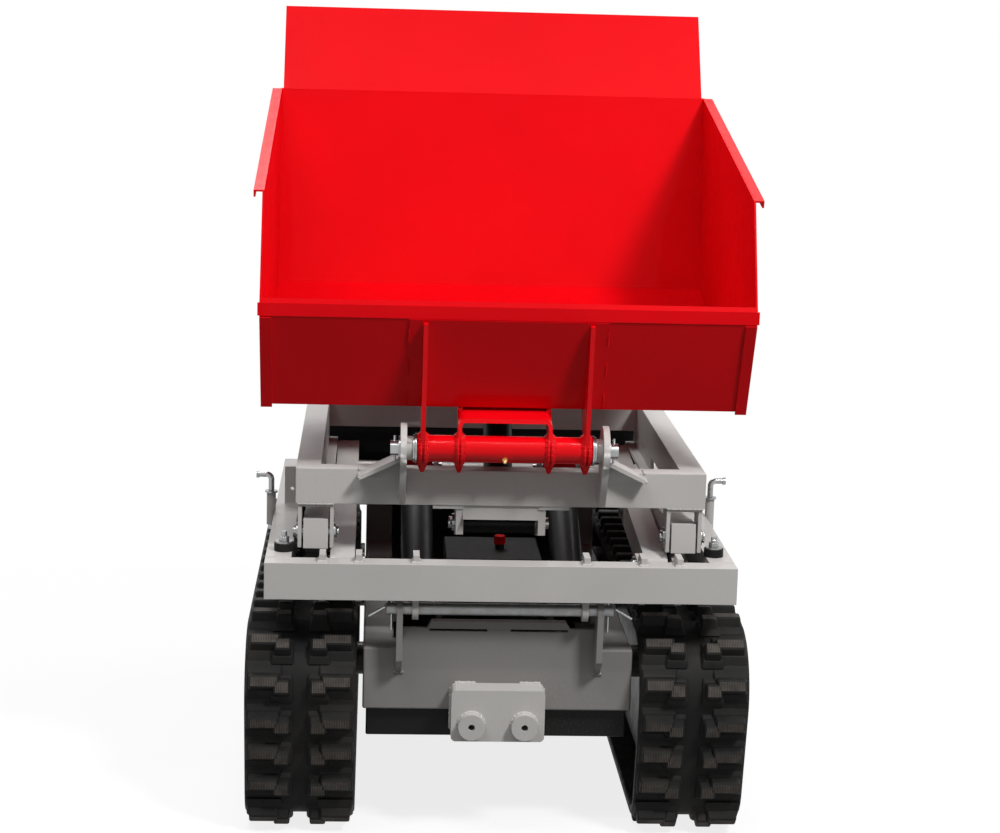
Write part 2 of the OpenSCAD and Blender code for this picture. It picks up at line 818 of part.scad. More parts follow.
module inner_arm_pins() {
  centre = [(arm_y + arm_end[0]) / 2, (foot_z + clevis_z) / 2];
  x0 = inner_arm_x - arm_w / 2;
  x1 = outer_arm_x + arm_w / 2;
  color(zinc) both_sides() {
    bar_x(centre_pin_r, x0 - 5, x1 + 8, centre);
    bar_x(centre_pin_r + 5, x0 - 5, x0, centre);
    bar_x(centre_pin_r + 5, x1 + 2, x1 + 5, centre);
    bar_x(lift_pin_r, lift_x - lift_lug - lug_t - 6, lift_x + lift_lug + lug_t + 6, lift_eye);
  }
}

// Grooved roller on an arm's end pin
module lift_roller(x, p) {
  difference() {
    bar_x(lift_roller_r, x, x + 13, p);
    bar_x(roller_pin_r + run_gap, x - 1, x + 14, p);
  }
}

module lower_rollers() {
  color(black) both_sides()
    lift_roller(outer_arm_x + arm_w / 2 + 1.5, [arm_end[0], foot_z]);
}

module upper_rollers() {
  color(black) both_sides()
    lift_roller(inner_arm_x + arm_w / 2 + 1.5, [arm_end[0], clevis_z]);
}

// A hydraulic barrel along +Y from its eye at the origin: closed base, open bore for the rod
module barrel(r, eye_half, length, bore_r, bore_start) {
  difference() {
    union() {
      rotate([-90, 0, 0]) translate([0, 0, 20]) cylinder(r = r, h = length - 20);
      rotate([-90, 0, 0]) translate([0, 0, length - 26]) cylinder(r = r + 2, h = 24);
      bar_x(17, -eye_half, eye_half, [0, 0]);
      block([-12, 12], [0, 24], [-12, 12]);
    }
    bar_x(10 + run_gap, -eye_half - 1, eye_half + 1, [0, 0]);
    rotate([-90, 0, 0]) translate([0, 0, bore_start]) cylinder(r = bore_r, h = length);
  }
}

// A piston rod along +Y from its inner end to the eye at reach
module piston_rod(r, inner, reach, eye_half, hole_r) {
  ring = hole_r + 7;
  difference() {
    union() {
      rotate([-90, 0, 0]) translate([0, 0, inner]) cylinder(r = r, h = reach - inner);
      bar_x(ring, -eye_half, eye_half, [reach, 0]);
    }
    bar_x(hole_r, -eye_half - 1, eye_half + 1, [reach, 0]);
  }
}

lift_dir = lift_eye - lift_base;
lift_reach = norm(lift_dir);
lift_angle = atan2(lift_dir[1], lift_dir[0]);
lift_eye_half = lift_lug - 1.5;

module on_lift_line() {
  both_sides() translate([lift_x, lift_base[0], lift_base[1]]) rotate([lift_angle, 0, 0]) children();
}

module lift_barrels() {
  color(black) on_lift_line()
    barrel(lift_barrel_r, lift_eye_half, lift_reach - 62, lift_rod_r + run_gap, lift_reach - 250);
}

module lift_rods() {
  color(zinc) on_lift_line()
    piston_rod(lift_rod_r, lift_reach - 225, lift_reach, lift_eye_half, lift_pin_r + lift_slack);
}

// Ear that carries one end of the skip's hinge pin
module ear_shape() {
  difference() {
    union() {
      translate(pivot) circle(ear_r);
      polygon([pivot + [-ear_r, 0], [upper_front - 46, ear_low + 24], [upper_front - 30, ear_low],
               [upper_front + 1, ear_low], [upper_front + 1, upper_top], pivot + [ear_r, 0]]);
    }
    translate(pivot) circle(skip_pin_r);
  }
}

// Hanging plate for the lower end of the tip cylinder
module tip_plate_shape() {
  difference() {
    union() {
      translate(tip_base) circle(20);
      polygon([[upper_front + 4, upper_z + 1], [upper_front + upper_beam_t, upper_z + 1],
               tip_base + [16, 12], tip_base + [0, -20], [upper_front + 6, upper_z - 50]]);
    }
    translate(tip_base) circle(tip_pin_r);
  }
}

module upper_frame() {
  back = upper_front + upper_beam_t;
  rail = upper_half - upper_rail_w;
  x0 = outer_arm_x - arm_w / 2 - clevis_gap;
  x1 = outer_arm_x + arm_w / 2 + clevis_gap;
  runner_z = clevis_z + lift_roller_r + move_gap;
  color(grey) {
    block([-upper_half, upper_half], [upper_front, back], [upper_z, upper_top]);
    block([-upper_half, upper_half], [upper_rear - upper_beam_t, upper_rear], [upper_z, upper_top]);
    both_sides() {
      block([rail, upper_half], [back - 1, upper_rear], [upper_z, upper_top]);
      bar_x(10, tip_plate_x + tip_plate_t + 14, rail + 1, [back + 8, upper_top - 12]);
      // Clevis for the outer arm
      for (x = [x0 - clevis_t, x1]) along_x(x, x + clevis_t) difference() {
        translate([arm_y - clevis_half_y, clevis_z - 21])
          square([2 * clevis_half_y, upper_z - clevis_z + 22]);
        translate([arm_y, clevis_z]) circle(arm_pin_r);
      }
      block([x0 - clevis_t, x1 + clevis_t], [arm_y - clevis_half_y, arm_y + clevis_half_y],
            [upper_z - clevis_t, upper_z + 1]);
      // Runner over the inner arm's roller
      block([runner_x, rail + 6], [arm_end[0] - roller_travel, upper_rear - 2],
            [runner_z, runner_z + runner_t]);
      block([rail, rail + 6], [arm_end[0] - roller_travel, upper_rear - 2], [runner_z, upper_z + 1]);
      // Ear, its inner boss and its slanted brace
      along_x(ear_x, ear_x + ear_t) ear_shape();
      along_x(tube_half + 1, ear_x + 1) difference() {
        translate(pivot) circle(19);
        translate(pivot) circle(skip_pin_r);
      }
      ear_brace();
      along_x(tip_plate_x, tip_plate_x + tip_plate_t) tip_plate_shape();
      block([tip_plate_x, tip_plate_x + tip_flange], [upper_front + 2, back], [upper_z - 6, upper_z + 1]);
    }
    block([-tip_plate_x - 1, tip_plate_x + 1], [upper_front + 4, upper_front + 10],
          [upper_z - 24, upper_z + 1]);
  }
}

// Slanted plate from the ear down to the beam, on an upright web
module ear_brace() {
  x0 = ear_x + ear_t - 1;
  reach = 66;
  top = pivot[1] - 19;
  low = upper_top - 6;
  web_low = low - 10;
  back = upper_front + 24;
  translate([0, back, 0]) rotate([90, 0, 0]) linear_extrude(50)
    polygon([[x0, top], [x0 + reach, low], [x0 + reach, low - 7], [x0, top - 7]]);
  translate([0, upper_front + 4, 0]) rotate([90, 0, 0]) linear_extrude(6)
    polygon([[x0, top - 3], [x0 + reach, low - 3], [x0 + reach - 4, web_low], [x0, web_low]]);
}

module upper_frame_pins() {
  x0 = outer_arm_x - arm_w / 2 - clevis_gap - clevis_t;
  x1 = outer_arm_x + arm_w / 2 + clevis_gap + clevis_t;
  tip_half = tip_plate_x + tip_plate_t;
  color(zinc) {
    both_sides() {
      bar_x(arm_pin_r, x0 - 8, x1 + 8, [arm_y, clevis_z]);
      bar_x(arm_pin_r + 5, x0 - 3, x0, [arm_y, clevis_z]);
      bar_x(arm_pin_r + 5, x1, x1 + 3, [arm_y, clevis_z]);
    }
    bar_x(tip_pin_r, -tip_half - 10, tip_half + 10, tip_base);
    both_sides() bar_x(tip_pin_r + 5, tip_half, tip_half + 4, tip_base);
  }
}

// Places a piece drawn level about the skip's pivot in its tipped position
module tipped() {
  translate([0, pivot[0], pivot[1]]) rotate([tip_rest, 0, 0]) children();
}

// Point inside the corner p, at distance t from its edges towards a and b
function inset(p, a, b, t) =
  let (u = (a - p) / norm(a - p), v = (b - p) / norm(b - p))
    p + (u + v) * t / abs(u[0] * v[1] - u[1] * v[0]);

// Outline of a strip along the line from a to b, between two offsets to its left
function strip(a, b, t0, t1) =
  let (u = (b - a) / norm(b - a), n = [-u[1], u[0]])
    [a + n * t0, b + n * t0, b + n * t1, a + n * t1];

// Folded shell: floor, back wall, front wall and the two sides
module skip_shell() {
  toe = [floor_front, floor_up];
  heel = [floor_rear, floor_up];
  brim = [rim_rear, rim_up];
  fold = inset(lip_fold, toe, lip, sheet_t);
  heel_in = inset(heel, toe, brim, sheet_t);
  difference() {
    along_x(-skip_half, skip_half) polygon([toe, lip_fold, lip, [rim_front, rim_up], brim, heel]);
    along_x(-skip_half + sheet_t, skip_half - sheet_t)
      polygon([inset(toe, lip_fold, heel, sheet_t), fold, fold + (lip - lip_fold) * 12,
               heel_in + (brim - heel) * 1.2, heel_in]);
  }
}

// Outward rim along the top of a side wall, and the wall's edge folded over the front wall
module skip_rim() {
  out = skip_half + rim_w;
  sink = 0.5;
  toe = [floor_front, floor_up];
  up = (lip_fold - toe) / norm(lip_fold - toe);
  block([skip_half - 1, out], [rim_front + 2, rim_rear - 2], [rim_up - sheet_t - sink, rim_up - sink]);
  block([out - sheet_t, out], [rim_front + 2, rim_rear - 2], [rim_up - rim_drop, rim_up - sink]);
  along_x(skip_half - flange_w, skip_half)
    polygon(strip(toe - up * flange_drop, lip_fold - up * flange_gap, -sink, sheet_t));
}

module skip() {
  spill = [rim_rear - 2, rim_up - 4];
  spill_half = skip_half - 6;
  band_half = skip_half + band_lap;
  color(red) tipped() {
    skip_shell();
    along_x(-band_half, band_half) polygon(strip(lip, lip_fold, -1, sheet_t - 1));
    along_x(-spill_half, spill_half)
      polygon(strip(spill, spill + spill_len * [sin(spill_lean), cos(spill_lean)], 0, sheet_t));
    both_sides() skip_rim();
  }
}

function front_wall_y(z) = floor_front * (lip_fold[1] - z) / (lip_fold[1] - floor_up);

// Rib from the pouring lip down past the hinge tube
module long_rib_shape() {
  polygon([[front_wall_y(rib_top), rib_top], [floor_front, floor_up], [floor_front + 50, floor_up], [tube_r, 0],
           [3, -tube_r - rib_tip], [-3, -tube_r - rib_tip], [-tube_r - 1, 0], [-tube_r + 3, 40],
           [front_wall_y(rib_top) - rib_depth, rib_top]]);
}

// Side view of the bent bridge's legs, which end in points under the hinge tube
module bridge_shape() {
  polygon([[0, bridge_up + 1], [floor_front + 50, bridge_up + 1], [tube_r, 0], [3, -tube_r - rib_tip],
           [-3, -tube_r - rib_tip], [-tube_r - 1, 0], [-8, bridge_up - 12]]);
}

// Front view of the space under an arch with rounded corners
module arch(half, top, r) {
  low = -tube_r - rib_tip - 1;
  translate([-half, low]) square([2 * half, top - r - low]);
  translate([r - half, low]) square([2 * (half - r), top - low]);
  for (x = [r - half, half - r]) translate([x, top - r]) circle(r);
}

// Plate bent over the hinge tube, with a leg on each side
module bridge() {
  back = floor_front + 60;
  intersection() {
    along_x(-strap_x - 1, strap_x + 1) bridge_shape();
    translate([0, back, 0]) rotate([90, 0, 0]) linear_extrude(back + tube_r + 10) difference() {
      arch(strap_x, bridge_up, strap_bend);
      arch(strap_x - strap_t, bridge_up - strap_t, strap_bend - strap_t);
    }
  }
}

module skip_hinge_frame() {
  rail_w = 8;
  rail_h = 22;
  color(red) tipped() difference() {
    union() {
      bar_x(tube_r, -tube_half, tube_half, [0, 0]);
      bridge();
      both_sides() {
        along_x(rib_x, rib_x + rib_t) long_rib_shape();
        block([strap_x - rail_w, strap_x], [floor_front, tip_eye[0] + 30], [floor_up - rail_h, floor_up]);
        along_x(tip_lug_x + 2, tip_lug_x + 2 + lug_t) difference() {
          union() {
            translate(tip_eye) circle(20);
            polygon([tip_eye + [-20, 0], tip_eye + [20, 0], [tip_eye[0] + 28, floor_up],
                     [tip_eye[0] - 28, floor_up]]);
          }
          translate(tip_eye) circle(tip_pin_r);
        }
        block([tip_lug_x + 2, strap_x], [tip_eye[0] - 30, tip_eye[0] + 30], [floor_up - 4, floor_up]);
      }
    }
    bar_x(skip_pin_r + run_gap, -tube_half - 1, tube_half + 1, [0, 0]);
  }
}

module skip_pins() {
  x1 = ear_x + ear_t;
  color(zinc) both_sides() {
    bar_x(skip_pin_r, tube_half - 40, x1 + 16, pivot);
    bar_x(skip_pin_r + 7, x1, x1 + 3, pivot);
    translate([x1 + 9, pivot[0], pivot[1] - 20]) cylinder(r = 2, h = 40);
  }
}

module tip_eye_pin() {
  half = tip_lug_x + lug_t + 10;
  color(zinc) tipped() bar_x(tip_pin_r, -half, half, tip_eye);
}

tip_target = pivot + rotated(tip_eye, tip_rest);
tip_dir = tip_target - tip_base;
tip_reach = norm(tip_dir);
tip_angle = atan2(tip_dir[1], tip_dir[0]);

module on_tip_line() {
  translate([0, tip_base[0], tip_base[1]]) rotate([tip_angle, 0, 0]) children();
}

module tip_barrel() {
  color(black) on_tip_line()
    barrel(tip_barrel_r, tip_plate_x - 1.5, tip_reach - 70, tip_rod_r + run_gap, tip_reach - 236);
}

module tip_rod() {
  color(zinc) on_tip_line()
    piston_rod(tip_rod_r, tip_reach - 194, tip_reach, tip_lug_x, tip_pin_r + tip_slack);
}

// Deck plate with side lips and a folded guard in front of the engine
module engine_deck() {
  y0 = deck_front - guard_t;
  color(black) {
    block([-deck_half, deck_half], [y0, deck_front + 1], [chassis_top, guard_low + 1]);
    block([-guard_half, guard_half], [y0, deck_front], [guard_low, guard_top]);
    both_sides() block([guard_half - guard_t, guard_half], [y0, deck_front + guard_fold],
                       [guard_low, guard_top]);
    block([-guard_half, guard_half], [y0, deck_front + guard_fold], [guard_top - guard_t, guard_top]);
    block([-deck_half, deck_half], [deck_front, deck_rear], [chassis_top, deck_top]);
    both_sides() block([deck_half - 6, deck_half], [deck_front, handle_foot - foot_half - 6],
                       [deck_top - 1, deck_top + 26]);
  }
}

// Crankcase with its side cover, sloping finned cylinder and rocker cover
module engine_block() {
  y0 = engine_y - case_depth / 2;
  color(black) {
    block([-case_half, case_half], [y0, y0 + case_depth], [deck_top, deck_top + case_h]);
    bar_x(78, case_half - 1, case_half + 22, [engine_y, deck_top + 95]);
    translate([-10, engine_y + 20, deck_top + case_h - 20]) rotate([-28, 0, 0]) {
      translate([0, 0, -10]) cylinder(r = 50, h = 120);
      for (i = [0:6]) translate([-fin_half, -64, 18 + i * 13]) cube([2 * fin_half, 128, 5]);
      block([-56, 56], [-52, 52], [108, 140]);
    }
  }
}

// Round fan housing with a ring of cooling slots and a pull grip
module recoil_cover() {
  x = -case_half;
  p = [engine_y, deck_top + 105];
  color(black) difference() {
    union() {
      bar_x(92, x - 46, x, p);
      bar_x(70, x - 66, x - 45, p);
    }
    for (a = [0:30:330]) {
      q = p + rotated([52, 0], a);
      translate([x - 70, q[0], q[1]]) rotate([a, 0, 0]) translate([0, -11, -3]) cube([20, 22, 6]);
    }
  }
}

module fuel_tank() {
  r = 40;
  half = 92;
  y = deck_front + r + 0.5;
  z = deck_top + case_h + r;
  color(black) {
    bar_x(r, -half, half, [y, z]);
    block([-half, half], [y - r, y + r], [z - r, z]);
    translate([40, y, z + r - 6]) cylinder(r = 22, h = 20);
  }
}

module muffler() {
  y = engine_y + 30;
  z = deck_top + case_h + 52;
  color(black) {
    bar_x(44, 72, 168, [y, z]);
    bar_x(15, fin_half - 10, 73, [y + 14, z - 16]);
    for (x = [82, 158]) bar_x(47, x, x + 5, [y, z]);
    strut(9, [150, y, z + 30], [178, y + 20, z + 74]);
  }
}

module air_filter() {
  y = engine_y + 44;
  z = deck_top + case_h + 30;
  color(black) {
    block([-178, -100], [y - 50, y + 50], [z, z + 68]);
    bar_x(40, -178, -100, [y, z + 34]);
    bar_x(12, -101, -fin_half - 10, [y - 20, z + 20]);
  }
}

tank_y = 330;
tank_top = base_z + 10;
cap_x = 13;
cap_r = 9;
neck_r = 5;

module hydraulic_tank() {
  z0 = chassis_z - pan_h + pan_t;
  color(black) difference() {
    union() {
      block([-82, 82], [tank_y - 80, tank_y + 80], [z0, tank_top]);
      translate([cap_x, tank_y, tank_top - 1]) cylinder(r = cap_r - 1, h = 9);
    }
    translate([cap_x, tank_y, tank_top - 12]) cylinder(r = neck_r, h = 30);
  }
}

module tank_cap() {
  color(red) translate([cap_x, tank_y, tank_top + 8]) {
    cylinder(r = cap_r, h = 14);
    translate([0, 0, -14]) cylinder(r = neck_r, h = 15);
    for (a = [0:45:315]) rotate(a) translate([cap_r - 0.5, 0, 0]) cylinder(r = 1.5, h = 14);
  }
}

module hydraulic_pump() {
  p = [engine_y, deck_top + 95];
  x = case_half + 22;
  color(black) {
    bar_x(40, x, x + 16, p);
    block([x + 15, x + 70], [p[0] - 32, p[0] + 32], [p[1] - 40, p[1] + 40]);
    translate([x + 42, p[0], p[1] + 39]) cylinder(r = 12, h = 16);
    translate([x + 42, p[0], p[1] - 55]) cylinder(r = 12, h = 16);
  }
}

module handlebar() {
  color(black) {
    both_sides() {
      bent_bar(handle_r, [[handle_x, handle_foot, deck_top + 4], [handle_x, handle_knee[0], handle_knee[1]],
                          [handle_x, handle_bend[0], handle_bend[1]], [handle_x, rear_end - 4, grip_z]]);
      block([handle_x - 30, handle_x + 6], [handle_foot - foot_half, handle_foot + foot_half],
            [deck_top, deck_top + 8]);
    }
    strut(handle_r, [-handle_x, handle_knee[0], handle_knee[1]], [handle_x, handle_knee[0], handle_knee[1]]);
  }
}

module grips() {
  color(rubber) both_sides() translate([handle_x, grip_start, grip_z]) rotate([-90, 0, 0]) difference() {
    union() {
      cylinder(r = grip_r, h = grip_len);
      cylinder(r = grip_r + 6, h = 6);
      for (i = [1:8]) translate([0, 0, i * grip_len / 10]) cylinder(r = grip_r + 1.5, h = 5);
    }
    translate([0, 0, -1]) cylinder(r = handle_r, h = grip_len - 3);
  }
}

// Folded console saddled on the handlebar's cross tube, with a bored bracket each side of a lever
module console() {
  t = 4;
  y0 = console_y - console_d / 2;
  y1 = console_y + console_d / 2;
  top = console_z + console_h;
  color(grey) difference() {
    union() {
      block([-console_half, console_half], [y0, y1], [handle_knee[1], top]);
      for (x = lever_xs) for (side = [-1, 1])
        block([x + side * bracket_x - 3, x + side * bracket_x + 3], [lever_y - 14, lever_y + 14],
              [top - 1, lever_z + 12]);
    }
    block([-console_half + t, console_half - t], [y0 + t, y1 - t], [handle_knee[1] - 1, top - t]);
    block([-console_half + t, console_half - t], [y0 - 1, y1 + 1], [handle_knee[1] - 1, console_z]);
    bar_x(handle_r, -handle_x, handle_x, handle_knee);
    bar_x(lever_pin_r + run_gap, -console_half, console_half, [lever_y, lever_z]);
  }
}

// Sectional valve block under the console
module control_valve() {
  top = console_z + console_h - 4;
  color(black) {
    block([-lever_out - 10, lever_out + 10], [console_y - 30, console_y + 30], [top - 44, top]);
    for (x = lever_xs) translate([x, console_y, top - 58]) cylinder(r = 11, h = 15);
  }
}

// Hand lever on a cross pin, its rod rising to a round knob
module hand_lever(x, length) {
  p = [lever_y, lever_z];
  bar_x(lever_pin_r, x - bracket_x - 4, x + bracket_x + 4, p);
  bar_x(9, x - 10, x + 10, p);
  translate([x, lever_y, lever_z]) {
    cylinder(r = 5, h = length);
    translate([0, 0, length]) sphere(knob_r);
  }
}

module travel_lever_left() { color(black) hand_lever(lever_xs[0], lever_len); }
module travel_lever_right() { color(black) hand_lever(lever_xs[1], lever_len); }
module lift_lever() { color(black) hand_lever(lever_xs[2], lever_len * 0.8); }
module tip_lever() { color(black) hand_lever(lever_xs[3], lever_len * 0.8); }
module throttle_lever() { color(black) hand_lever(lever_xs[4], lever_len * 0.5); }

// Moves the machine so that the origin is under its middle
module centred() {
  translate([0, -middle, 0]) children();
}

centred() chassis_frame();
centred() front_hitch();
centred() belly_guard();
centred() on_side(-1) track_frame();  // track_frame_left
centred() on_side(1) track_frame();  // track_frame_right
centred() on_side(-1) track();  // track_left
centred() on_side(1) track();  // track_right
centred() axle_bolts();
centred() drive_motors();
centred() on_side(-1) sprocket();  // sprocket_left
centred() on_side(1) sprocket();  // sprocket_right
centred() on_side(-1) idler();  // idler_left
centred() on_side(1) idler();  // idler_right
for (i = [0:roller_count - 1]) {
  centred() on_side(-1) roller(i);
  centred() on_side(1) roller(i);
}
centred() base_frame();
centred() base_pivot_shaft();
centred() shaft_clips();
centred() base_pins();
centred() rubber_buffers();
centred() buffer_bolts();
centred() on_side(-1) lock_pin();  // lock_pin_left
centred() on_side(1) lock_pin();  // lock_pin_right
centred() inner_arms();
centred() outer_arms();
centred() inner_arm_pins();
centred() lower_rollers();
centred() upper_rollers();
centred() lift_barrels();
centred() lift_rods();
centred() upper_frame();
centred() upper_frame_pins();
centred() skip();
centred() skip_hinge_frame();
centred() skip_pins();
centred() tip_eye_pin();
centred() tip_barrel();
centred() tip_rod();
centred() engine_block();
centred() recoil_cover();
centred() fuel_tank();
centred() muffler();
centred() air_filter();
centred() hydraulic_tank();
centred() tank_cap();
centred() hydraulic_pump();
centred() control_valve();
centred() engine_deck();
centred() handlebar();
centred() grips();
centred() console();
centred() travel_lever_left();
centred() travel_lever_right();
centred() lift_lever();
centred() tip_lever();
centred() throttle_lever();
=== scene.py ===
"""Looks of the tracked power carrier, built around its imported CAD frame."""

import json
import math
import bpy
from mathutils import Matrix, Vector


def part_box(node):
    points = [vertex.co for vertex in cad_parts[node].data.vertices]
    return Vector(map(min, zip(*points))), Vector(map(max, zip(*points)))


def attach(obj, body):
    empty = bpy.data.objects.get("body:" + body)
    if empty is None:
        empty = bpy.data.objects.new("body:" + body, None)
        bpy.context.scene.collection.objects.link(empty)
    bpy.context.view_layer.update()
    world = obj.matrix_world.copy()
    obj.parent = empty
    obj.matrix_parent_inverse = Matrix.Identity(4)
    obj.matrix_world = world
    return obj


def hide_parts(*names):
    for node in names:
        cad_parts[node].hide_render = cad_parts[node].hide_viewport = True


bl_info = {
    "name": "Tracked Power Carrier",
    "version": (1, 0, 0),
    "blender": (4, 5, 0),
    "location": "View3D > Sidebar > Carrier",
    "description": "Dresses the tracked carrier's CAD frame with paint, rubber, welds and fasteners",
    "category": "Object",
}

import bmesh
import bpy
from bpy.props import FloatProperty, FloatVectorProperty, IntProperty, PointerProperty
from mathutils import Matrix, Vector

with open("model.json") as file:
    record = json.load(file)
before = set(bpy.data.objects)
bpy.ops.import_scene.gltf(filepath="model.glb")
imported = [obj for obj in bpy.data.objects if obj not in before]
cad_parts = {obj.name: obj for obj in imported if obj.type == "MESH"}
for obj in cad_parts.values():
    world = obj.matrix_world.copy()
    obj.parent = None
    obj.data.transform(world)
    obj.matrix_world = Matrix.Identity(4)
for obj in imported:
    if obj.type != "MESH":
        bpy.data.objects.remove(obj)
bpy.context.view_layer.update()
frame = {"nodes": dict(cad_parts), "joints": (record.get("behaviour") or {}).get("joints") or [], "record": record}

joints = {j["name"]: j for j in frame["joints"]}
body_of = {n: b for b, group in frame["record"]["behaviour"]["bodies"].items() for n in group}

MM = 0.001
hinge = Vector(joints["skip_tip"]["pos_m"])
shaft = Vector(joints["service_tilt"]["pos_m"])
idler = Vector(joints["idler_left_spin"]["pos_m"])
sprocket = Vector(joints["sprocket_left_spin"]["pos_m"])
front_roller = Vector(joints["roller_left_1_spin"]["pos_m"])
rear_roller = Vector(joints["roller_left_3_spin"]["pos_m"])

# Outside of the hinge tube, and the skip's tilt at rest
tube_radius = 21.5 * MM
tip_rest = math.radians(12)


class CarrierColours(bpy.types.PropertyGroup):
    """Colours of the finishes, in linear light"""

    skip_red: FloatVectorProperty(
        name="Skip red", description="Gloss paint of the skip and its hinge",
        subtype="COLOR", size=3, min=0, max=1, default=(0.62, 0.0012, 0.0045))
    frame_grey: FloatVectorProperty(
        name="Frame grey", description="Satin paint of the lift, the hitch and the console",
        subtype="COLOR", size=3, min=0, max=1, default=(0.425, 0.410, 0.397))
    # The chassis grey is darkened as painted shade, standing for the shade the chassis is in under the base beam.
    chassis_shade_grey: FloatVectorProperty(
        name="Chassis grey with painted shade", description="Darker satin paint of the chassis",
        subtype="COLOR", size=3, min=0, max=1, default=(0.195, 0.186, 0.180))
    machine_black: FloatVectorProperty(
        name="Machine black",
        description="Paint of the engine, the pan, the track frames and the handlebar",
        subtype="COLOR", size=3, min=0, max=1, default=(0.008, 0.008, 0.0085))
    zinc: FloatVectorProperty(
        name="Zinc", description="Plated pins, nuts and rods",
        subtype="COLOR", size=3, min=0, max=1, default=(0.36, 0.365, 0.37))
    rubber: FloatVectorProperty(
        name="Rubber", description="Moulded rubber of tracks, buffers and grips",
        subtype="COLOR", size=3, min=0, max=1, default=(0.0065, 0.0065, 0.0064))
    lug_dust: FloatVectorProperty(
        name="Lug dust", description="Greyed rubber on the tips of the lugs",
        subtype="COLOR", size=3, min=0, max=1, default=(0.095, 0.082, 0.072))
    brass: FloatVectorProperty(
        name="Brass", description="Grease nipple",
        subtype="COLOR", size=3, min=0, max=1, default=(0.72, 0.52, 0.20))
    floor: FloatVectorProperty(
        name="Floor", description="Plain floor under the machine",
        subtype="COLOR", size=3, min=0, max=1, default=(0.9, 0.9, 0.9))


class CarrierSizes(bpy.types.PropertyGroup):
    """Sizes of what is added to the frame"""

    beam_round: FloatProperty(
        name="Beam rounding", description="Corner radius of the box beams",
        unit="LENGTH", default=3.5 * MM, min=0.5 * MM, max=6 * MM)
    plate_round: FloatProperty(
        name="Plate rounding", description="Broken edge of plates and lugs",
        unit="LENGTH", default=0.9 * MM, min=0.2 * MM, max=2 * MM)
    bend_round: FloatProperty(
        name="Bend rounding", description="Outer radius of the skip's folds",
        unit="LENGTH", default=5 * MM, min=1 * MM, max=8 * MM)
    bead: FloatProperty(
        name="Weld bead", description="Radius of a weld bead",
        unit="LENGTH", default=3.6 * MM, min=1.5 * MM, max=6 * MM)
    track_width: FloatProperty(
        name="Track width", description="Width of a rubber track",
        unit="LENGTH", default=180 * MM, min=150 * MM, max=200 * MM)
    belt: FloatProperty(
        name="Belt", description="Thickness of the belt between its lugs",
        unit="LENGTH", default=16 * MM, min=10 * MM, max=20 * MM)
    lug: FloatProperty(
        name="Lug", description="Height of a tread lug",
        unit="LENGTH", default=20 * MM, min=10 * MM, max=24 * MM)
    lug_round: FloatProperty(
        name="Lug rounding", description="Moulded edge of a lug",
        unit="LENGTH", default=2.2 * MM, min=0.5 * MM, max=4 * MM)
    lug_rows: IntProperty(
        name="Lug rows", description="Rows of lugs round a track", default=42, min=30, max=45)
    lug_start: FloatProperty(
        name="First lug", description="Distance along the belt to the first row",
        unit="LENGTH", default=48 * MM, min=0, max=60 * MM)


class CarrierView(bpy.types.PropertyGroup):
    """Camera and light"""

    place: FloatVectorProperty(
        name="Camera place", description="Where the camera stands",
        subtype="TRANSLATION", size=3, default=(-0.2098, -4.25775, 1.3686))
    turn: FloatVectorProperty(
        name="Camera turn", description="Yaw, pitch down and roll of the camera",
        subtype="EULER", size=3,
        default=(math.radians(3.269), math.radians(10.669), math.radians(-1.588)))
    lens: FloatProperty(
        name="Lens", description="Focal length on a 36 mm sensor",
        unit="CAMERA", default=81.216, min=20, max=200)
    key: FloatProperty(
        name="Key light", description="Power of the light to the right of the camera",
        unit="POWER", default=205, min=0)
    fill: FloatProperty(
        name="Fill light", description="Power of the soft light to the left",
        unit="POWER", default=66, min=0)
    strip: FloatProperty(
        name="Strip light", description="Power of the long narrow light overhead",
        unit="POWER", default=42, min=0)
    ambient: FloatProperty(
        name="Ambient", description="Strength of the even light from all round",
        default=0.16, min=0)


# Materials

def started(name):
    """A node material with its shader and its object coordinates."""
    material = bpy.data.materials.new(name)
    material.use_nodes = True
    tree = material.node_tree
    coords = tree.nodes.new("ShaderNodeTexCoord").outputs["Object"]
    return material, tree, tree.nodes["Principled BSDF"], coords


def noise(tree, coords, scale, detail=3.0, stretch=None):
    if stretch:
        mapping = tree.nodes.new("ShaderNodeMapping")
        mapping.inputs["Scale"].default_value = stretch
        tree.links.new(coords, mapping.inputs["Vector"])
        coords = mapping.outputs["Vector"]
    node = tree.nodes.new("ShaderNodeTexNoise")
    node.inputs["Scale"].default_value = scale
    node.inputs["Detail"].default_value = detail
    tree.links.new(coords, node.inputs["Vector"])
    return node.outputs["Fac"]


def between(tree, value, low, high, out_low=0.0, out_high=1.0):
    node = tree.nodes.new("ShaderNodeMapRange")
    limits = {"From Min": low, "From Max": high, "To Min": out_low, "To Max": out_high}
    for socket, number in limits.items():
        node.inputs[socket].default_value = number
    tree.links.new(value, node.inputs["Value"])
    return node.outputs["Result"]


def blended(tree, factor, a, b):
    """A colour between a and b; each is a colour or another node's output."""
    node = tree.nodes.new("ShaderNodeMix")
    node.data_type = "RGBA"
    tree.links.new(factor, node.inputs[0])
    for colour, socket in ((a, node.inputs[6]), (b, node.inputs[7])):
        if isinstance(colour, bpy.types.NodeSocket):
            tree.links.new(colour, socket)
        else:
            socket.default_value = (*colour, 1)
    return node.outputs[2]


def calculated(tree, kind, a, b):
    node = tree.nodes.new("ShaderNodeMath")
    node.operation = kind
    for socket, value in zip(node.inputs, (a, b)):
        if isinstance(value, bpy.types.NodeSocket):
            tree.links.new(value, socket)
        else:
            socket.default_value = value
    return node.outputs[0]


def bumped(tree, shader, height, strength, distance):
    node = tree.nodes.new("ShaderNodeBump")
    node.inputs["Strength"].default_value = strength
    node.inputs["Distance"].default_value = distance
    tree.links.new(height, node.inputs["Height"])
    tree.links.new(node.outputs["Normal"], shader.inputs["Normal"])


def face_value(tree, name):
    node = tree.nodes.new("ShaderNodeAttribute")
    node.attribute_name = name
    return node.outputs["Fac"]


